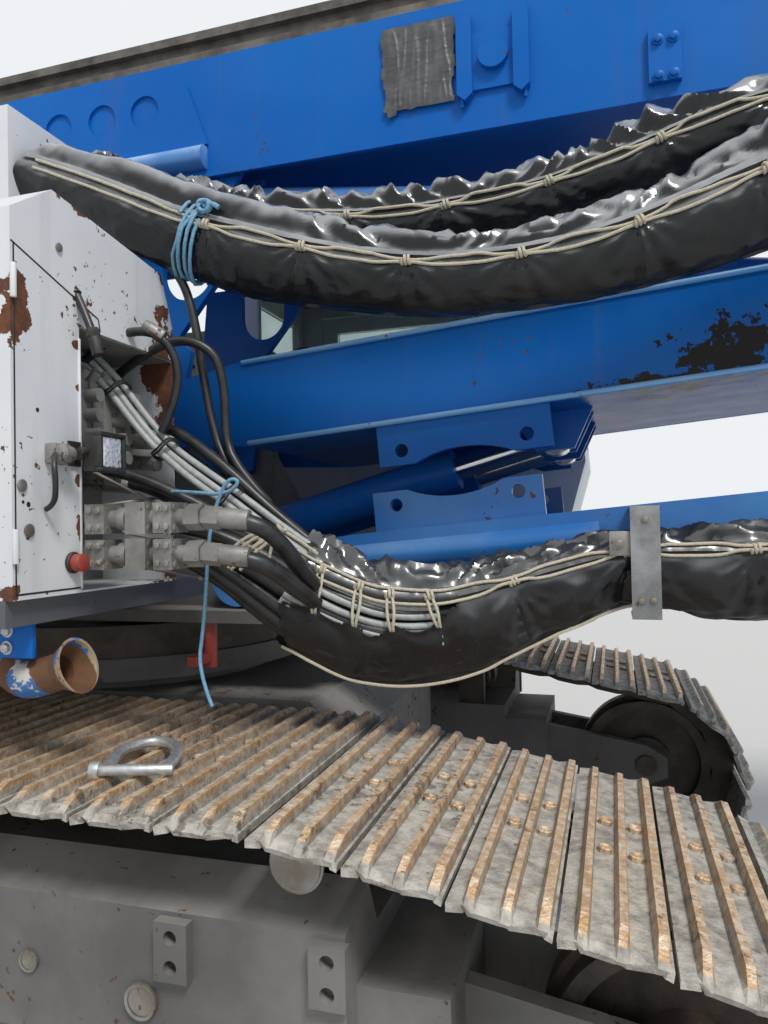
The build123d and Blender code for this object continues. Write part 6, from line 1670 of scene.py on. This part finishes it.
tape_places = []
for row in range(TAPE_ROWS + 1):
    for column in range(TAPE_COLUMNS + 1):
        tape_places.extend(tape_place(column / TAPE_COLUMNS, row / TAPE_ROWS))
tape = grid_piece("mast_tape", TAPE_COLUMNS, TAPE_ROWS, tape_places)
thicken(tape, 0.0016)
weld(tape)
smooth_below(45)
finished("mast_tape", [tape], "tape_dark", body="mast")
print("tape has", len(tape.data.polygons), "faces")

# %% Bolted plate, weld beads and the rolled edge of the mast
plate_bolts = [hex_bolt(at(x, -0.4725, z), (0, -1, 0), 0.0125) for x in (2.116, 2.158) for z in (2.875, 2.982)]
finished("mast_plate_bolts", plate_bolts, "blue_paint", body="mast")


def weld_bead(start, end, radius=0.006, ripple=0.0012, pitch=0.011):
    """A bead of scale-like ripples between two points."""
    count = max(4, int((end - start).length / (pitch / 2)))
    points = [start + (end - start) * (k / count) for k in range(count + 1)]
    sizes = [radius + (ripple if k % 2 else -ripple) for k in range(count + 1)]
    return tube_mesh("weld", points, np.array(sizes), 6)


welds = [weld_bead(at(x0, -0.462, z0), at(x1, -0.462, z1)) for x0, z0, x1, z1 in (
    (1.540, 2.890, 1.540, 3.180), (1.735, 2.890, 1.735, 3.180), (-0.30, 2.680, 1.10, 2.680))]
# the rolled edge's pale blue-white top is a painted glint, laid through the dust layer
rolled_edge_glint = weathered_paint(
    "rolled_edge_painted_glint", (0.010, 0.180, 0.560), (0.040, 0.240, 0.620), 1.0, 0.25, 0.15, rough=0.24, coat=0.4,
    specular=0.5, dust_and_sheen_colour=(0.70, 0.80, 0.90))
rolled = [turned_rod("rolled_edge", at(-0.660, side * 0.462, 2.884), at(0.634, side * 0.462, 2.884), 0.040, 36)
          for side in (-1, 1)]
finished("mast_rolled_edge", rolled, rolled_edge_glint, "blue_paint", body="mast")
finished("mast_welds", welds, "blue_paint", body="mast")
print("mast details are on")

# %% Bracket of the lower bundle: rivets, a clamp and its bolt
bracket_low, bracket_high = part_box("hose_bracket")
print("bracket box", [round(v, 3) for v in bracket_low], [round(v, 3) for v in bracket_high])
front_y = bracket_low.y
middle_x = (bracket_low.x + bracket_high.x) / 2
rivets = []
for dx, z in ((-0.012, bracket_low.z + 0.045), (0.016, bracket_low.z + 0.047), (0.0, bracket_high.z - 0.035)):
    x = middle_x + dx
    rivets.append(turned_rod("rivet", (x, front_y + 0.002, z), (x, front_y - 0.006, z), 0.0085, 18, soft=0.003))
finished("bracket_rivets", rivets, "bright_steel", body="lower_arm")
clamp = [soft_block("clamp", (bracket_low.x - 0.052, front_y + 0.010, bracket_high.z - 0.125),
                    (bracket_low.x + 0.004, front_y + 0.034, bracket_high.z - 0.062), soft=0.004)]
finished("bracket_clamp", clamp, "pipe_brass", body="lower_arm")
clamp_bolt = [hex_bolt((bracket_low.x - 0.028, front_y + 0.010, bracket_high.z - 0.094), (0, -1, 0), 0.011)]
finished("clamp_bolt", clamp_bolt, "bright_steel", body="lower_arm")

# %% [markdown]
# The side frame carries what a fitter uses: a round boss where the tension is set, round plugs, and
# bolts under its rollers. The right side is mirrored onto the left, because both frames come
# from one drawing.

# %% Side-frame plugs and bosses on both sides
# x, z, height, radius, sides, softness and steps of each
PLUGS = ((1.360, 0.938, 0.028, 0.052, 32, 0.004, ((0.18, -0.006), (0.3, 0.004))),
         (0.998, 0.610, 0.014, 0.038, 28, 0.003, ((0.2, -0.004),)),
         (0.712, 0.650, 0.010, 0.024, 24, 0.002, ((0.2, -0.003),)))
for side, label in ((-1, "right"), (1, "left")):
    plugs = [turned_rod("plug", at(x, side * 1.400, z), at(x, side * (1.400 + high), z), radius, sides,
                        soft=soft, steps=steps) for x, z, high, radius, sides, soft, steps in PLUGS]
    finished("frame_bosses_" + label, plugs, "bright_steel", body="undercarriage")
    heads = [hex_bolt(at(x + dx, side * 1.35, 0.33), (0, side, 0), 0.014)
             for x in (-1.42, -0.50, 0.42, 1.34) for dx in (-0.045, 0.045)]
    finished("roller_bolts_" + label, heads, "bright_steel", body="undercarriage")
print("side frames are dressed")
# %% [markdown]
# A part for a library is looked at from all sides, so the sides that the photograph doesn't show get the same care:
# the cab has its seat, wiper and mirrors, the engine house has louvres and latches, the drums carry rope, and
# walkways have ribs. One louvre is modelled for each size, and it is copied to its places as meshes of their own,
# turned outwards.

# %% One louvre


def louvres(places, length=0.30, high=0.036, proud=0.016):
    """Pressed louvres that open downwards: one lies along X on the plane y = 0, the rest are copies."""
    one = primitive("louvre", bpy.ops.mesh.primitive_cube_add, size=1, location=(0, -proud / 2, 0),
                    scale=(length, proud, high))
    for vertex in one.data.vertices:
        if vertex.co.z > 0 and vertex.co.y < -proud / 2:
            vertex.co.y = -0.0015
    with editing(one, lambda face: face.normal.z < -0.8):
        bpy.ops.mesh.inset(thickness=0.003)
        bpy.ops.transform.translate(value=(0, 0, 0.012))
    with editing(one):
        bpy.ops.mesh.bevel(offset=0.0012, segments=1, affect="EDGES")
    smooth_below(35)
    copies = copied(one, places)
    bpy.data.objects.remove(one)
    return copies


HALF_TURN = Matrix.Rotation(math.pi, 4, "Z")
TO_BACK = Matrix.Rotation(math.radians(-90), 4, "Z")
print("louvre ready")

# %% Louvres and latches of the engine house
for side, label, turn in ((-1, "right", Matrix.Identity(4)), (1, "left", HALF_TURN)):
    body = "house_door_" + label
    spots = [Matrix.Translation((-1.71 + column * 0.62, side * 1.4755, 1.60 + row * 0.058)) @ turn
             for column in range(2) for row in range(5)]
    finished("door_louvres_" + label, louvres(spots, 0.46), "white_paint", body=body)
    y = side * 1.476
    latch = [soft_block("latch", (-1.42, y - 0.010, 2.02), (-1.34, y + 0.010, 2.16), soft=0.005),
             turned_rod("latch_eye", (-1.38, side * 1.470, 2.055), (-1.38, side * 1.490, 2.055), 0.018, 20,
                        steps=((0.2, -0.002),))]
    finished("door_latch_" + label, latch, "lamp_housing", body=body)
back_spots = [Matrix.Translation((-2.0895, -0.80 + column * 0.80, 2.28 + row * 0.062)) @ TO_BACK
              for column in range(3) for row in range(5)]
finished("rear_louvres", louvres(back_spots, 0.62), "white_paint")
print("louvres in each door", len(spots), "and at the back", len(back_spots))

# %% Cooler slats, tank gauge and tank caps
cooler_low, cooler_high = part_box("cooler_house")
slats = []
for row in range(22):
    z = cooler_low.z + 0.16 + row * 0.044
    slats.append(Matrix.Translation(((cooler_low.x + cooler_high.x) / 2, cooler_high.y, z)) @ HALF_TURN)
finished("cooler_slats", louvres(slats, 1.34, 0.034, 0.018), "beige_paint")
tank_low, tank_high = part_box("hydraulic_tank")
face, top = tank_low.y, tank_high.z
gauge = soft_block("gauge_frame", (-0.34, face - 0.012, 1.80), (-0.28, face + 0.002, 2.05), soft=0.004)
finished("tank_gauge", [gauge], "lamp_housing")
glass_strip = soft_block("gauge_glass", (-0.322, face - 0.017, 1.825), (-0.298, face - 0.010, 2.025),
                         soft=0.003)
finished("tank_gauge_glass", [glass_strip], lens_glass, "window_glass")
caps = [turned_rod("filler", (-0.42, -0.86, top - 0.002), (-0.42, -0.86, top + 0.050), 0.060, 32, soft=0.006,
                   steps=((0.25, 0.010), (0.3, -0.004))),
        turned_rod("breather", (0.05, -0.90, top - 0.002), (0.05, -0.90, top + 0.085), 0.042, 28, soft=0.008,
                   steps=((0.2, 0.006),))]
finished("tank_caps", caps, "lamp_housing")
print("cooler and tank are dressed")

# %% [markdown]
# Winch rope lies on the drum in even turns. It is one helix at a rope's own pitch, so a tube mesh
# is carried along it, and its ends go into the drum's flange. It rides on the drum and turns with it.

# %% Rope on both drums
ROPE_RADIUS = 0.011
POINTS_PER_TURN = 28
for name in ("main", "aux"):
    drum = name + "_winch_drum"
    low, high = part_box(drum)
    axis_x, axis_z = (low.x + high.x) / 2, (low.z + high.z) / 2
    points = [vertex.co for vertex in frame["nodes"][drum].data.vertices]
    middle = [math.hypot(point.x - axis_x, point.z - axis_z) for point in points
              if abs(point.y) < (high.y - low.y) * 0.30]
    flange = (high.z - low.z) / 2
    barrel = max(middle) if middle else flange * 0.7
    if barrel > flange * 0.93:
        barrel = flange * 0.78
    laid = barrel + ROPE_RADIUS * 0.7
    half_run = (high.y - low.y) / 2 - 0.045
    turns_count = int(half_run / ROPE_RADIUS)
    helix = []
    for k in range(turns_count * POINTS_PER_TURN + 1):
        angle = 2 * math.pi * k / POINTS_PER_TURN
        y = -half_run + 2 * half_run * k / (turns_count * POINTS_PER_TURN)
        helix.append((axis_x + laid * math.cos(angle), y, axis_z + laid * math.sin(angle)))
    wound = tube_mesh("drum_rope_" + name, helix, ROPE_RADIUS, 7)
    finished("drum_rope_" + name, [wound], "rail_steel", body=drum)
    print("rope on", name, "drum:", turns_count, "turns, radius", round(barrel, 3), "flange", round(flange, 3))

# %% [markdown]
# The cab is judged through its glass. The seat is upholstered, so its cushion and back are padded
# forms whose sides pull in between the corners. A cloth simulation would give wrinkles that can't
# be seen through tinted glass, so a subdivided block with a crown is enough here.

# %% Seat, controls and screen in the cab
def cushion(name, low, high, crown=0.02):
    """A crowned closed cushion."""
    low, high = Vector(low), Vector(high)
    pad = cube_piece(name, low, high)
    with editing(pad):
        bpy.ops.mesh.subdivide(number_cuts=3)
    middle, half = (low + high) / 2, (high - low) / 2
    for vertex in pad.data.vertices:
        u, v, w = ((vertex.co[k] - middle[k]) / half[k] for k in range(3))
        uu, vv, ww = 1 - u * u, 1 - v * v, 1 - w * w
        vertex.co += Vector((u * vv * ww, v * uu * ww, w * uu * vv)) * crown
    rounded = pad.modifiers.new("soft corners", "SUBSURF")
    rounded.levels = 2
    rounded.render_levels = 2
    bpy.ops.object.modifier_apply(modifier=rounded.name)
    bpy.ops.object.shade_smooth()
    wear(pad, "seat_cloth")
    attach(pad, "upper_structure")


cushion("seat_pad", (1.36, 0.86, 1.900), (1.80, 1.26, 2.005))
cushion("seat_back", (1.285, 0.87, 2.000), (1.385, 1.25, 2.480), crown=0.018)
sticks = []
for y in (0.80, 1.32):
    sticks.append(turned_rod("stick", (1.745, y, 2.060), (1.765, y, 2.200), 0.011, 14))
    sticks.append(turned_rod("grip", (1.765, y, 2.190), (1.775, y, 2.290), 0.022, 18, soft=0.008,
                             steps=((0.2, 0.003),)))
finished("control_sticks", sticks, "lamp_housing")
screen_case = [soft_block("screen", (2.30, 0.80, 2.060), (2.345, 1.08, 2.260), soft=0.008),
               turned_rod("screen_arm", (2.34, 0.94, 1.700), (2.335, 0.94, 2.080), 0.016, 16)]
finished("cab_screen", screen_case, "lamp_housing")
print("cab has its seat and controls")

# %% Wiper, mirrors, lamps and door handle
front_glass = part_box("cab_glass")[1].x


def before_glass(out, y, z):
    """A point so far in front of the cab's windscreen."""
    return (front_glass + out, y, z)


wiper_line = [before_glass(0.030, 1.07, 2.70), before_glass(0.034, 1.12, 2.48), before_glass(0.016, 1.18, 2.30)]
wiper = [turned_rod("wiper_motor", before_glass(0.012, 1.07, 2.7), before_glass(0.036, 1.07, 2.7), 0.020, 18),
         tube_mesh("wiper_arm", wiper_line, 0.006, 8),
         soft_block("wiper_blade", before_glass(0.003, 1.170, 2.060), before_glass(0.016, 1.186, 2.500),
                    soft=0.003)]
finished("cab_wiper", wiper, "lamp_housing")
cab_low, cab_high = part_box("cab_shell")
roof = cab_high.z
for y, label in ((cab_high.y - 0.12, "left"), (cab_low.y + 0.10, "right")):
    arm_line = [(2.60, y, roof - 0.12), (2.76, y, roof - 0.16), (2.80, y, roof - 0.30)]
    case_low, case_high = (2.775, y - 0.075, roof - 0.56), (2.815, y + 0.075, roof - 0.29)
    finished("mirror_" + label, [tube_mesh("mirror_arm", arm_line, 0.009, 8),
                                 soft_block("mirror_case", case_low, case_high, soft=0.014)], "lamp_housing")
    glass_low, glass_high = (2.771, y - 0.066, roof - 0.55), (2.777, y + 0.066, roof - 0.30)
    mirror_glass = soft_block("mirror_glass", glass_low, glass_high, soft=0.002)
    finished("mirror_glass_" + label, [mirror_glass], "chrome_rod")
lamps, lenses = [], []
for y in (cab_low.y + 0.16, cab_high.y - 0.16):
    lamps.append(soft_block("cab_lamp", (2.60, y - 0.060, roof - 0.001), (2.70, y + 0.060, roof + 0.095),
                            soft=0.010))
    lenses.append(soft_block("cab_lens", (2.694, y - 0.050, roof + 0.010), (2.706, y + 0.050, roof + 0.084),
                             soft=0.004))
finished("cab_lamps", lamps, "lamp_housing")
finished("cab_lamp_lenses", lenses, lens_glass, "window_glass")
handle = tube_mesh("handle", [(1.33, 1.486, 1.930), (1.33, 1.4985, 1.935), (1.33, 1.4985, 2.015),
                              (1.33, 1.486, 2.020)], 0.008, 8)
finished("cab_door_handle", [handle], "lamp_housing", body="cab_door")
print("cab is dressed, front glass at", round(front_glass, 3))

# %% Walkway ribs and the counterweight's lifting eyes, bolts and reflectors
deck_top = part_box("side_decks")[1].z
RIB_GAP = 0.045
ribs = [soft_block("rib", (x, -1.44, deck_top - 0.001), (x + 0.012, -1.10, deck_top + 0.004), soft=0.0015,
                   segments=1) for x in (-0.58 + k * RIB_GAP for k in range(19, 26))]
finished("deck_ribs", ribs, deck_grey_shade, "white_paint")
weight_low, weight_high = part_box("counterweight")
eyes, weight_bolts = [], []
for y in (-0.95, 0.95):
    ring = [(-2.45 + 0.052 * math.cos(angle), y, weight_high.z + 0.045 + 0.052 * math.sin(angle))
            for angle in np.linspace(0, 2 * math.pi, 30)]
    eyes.append(tube_mesh("eye", ring, 0.013, 10))
    eyes.append(turned_rod("eye_foot", (-2.45, y, weight_high.z - 0.002), (-2.45, y, weight_high.z + 0.014),
                           0.036, 24))
    for z in (1.40, 2.08):
        weight_bolts.append(hex_bolt((weight_low.x, y, z), (-1, 0, 0), 0.026))
finished("weight_eyes", eyes, "galvanised")
finished("weight_bolts", weight_bolts, "bright_steel")
back = weight_low.x
reflectors = [soft_block("reflector", (back - 0.006, y - 0.10, 1.70), (back + 0.002, y + 0.10, 1.76),
                         soft=0.003) for y in (-1.12, 1.12)]
finished("weight_reflectors", reflectors, "red_paint")
print("deck and counterweight are dressed")

# %% Rotary head: a circle of bolts on the gearbox's flange
gear_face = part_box("rotary_gearbox")[1].x
sleeve_low, sleeve_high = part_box("drive_sleeve")
centre_z = (sleeve_low.z + sleeve_high.z) / 2
flange_bolts = []
for k in range(12):
    angle = 2 * math.pi * k / 12
    flange_bolts.append(hex_bolt((gear_face - 0.001, 0.33 * math.cos(angle), centre_z + 0.33 * math.sin(angle)),
                                 (1, 0, 0), 0.014))
finished("gearbox_bolts", flange_bolts, "bright_steel", body="rotary_head")
print("bolts on the gearbox", len(flange_bolts), "round a height of", round(centre_z, 3))

# %% Sizes and finish
bpy.context.view_layer.update()
dressed_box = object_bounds()


def plain_numbers(value):
    if isinstance(value, (int, float)):
        return [float(value)]
    found = []
    for part in value:
        found.extend(plain_numbers(part))
    return found


rows = [plain_numbers(cad_box), plain_numbers(dressed_box)]
lines = ["[" + ",\n".join(str(round(number, 5)) for number in row) + "]" for row in rows]
print("bare", rows[0])
print("dressed", rows[1])
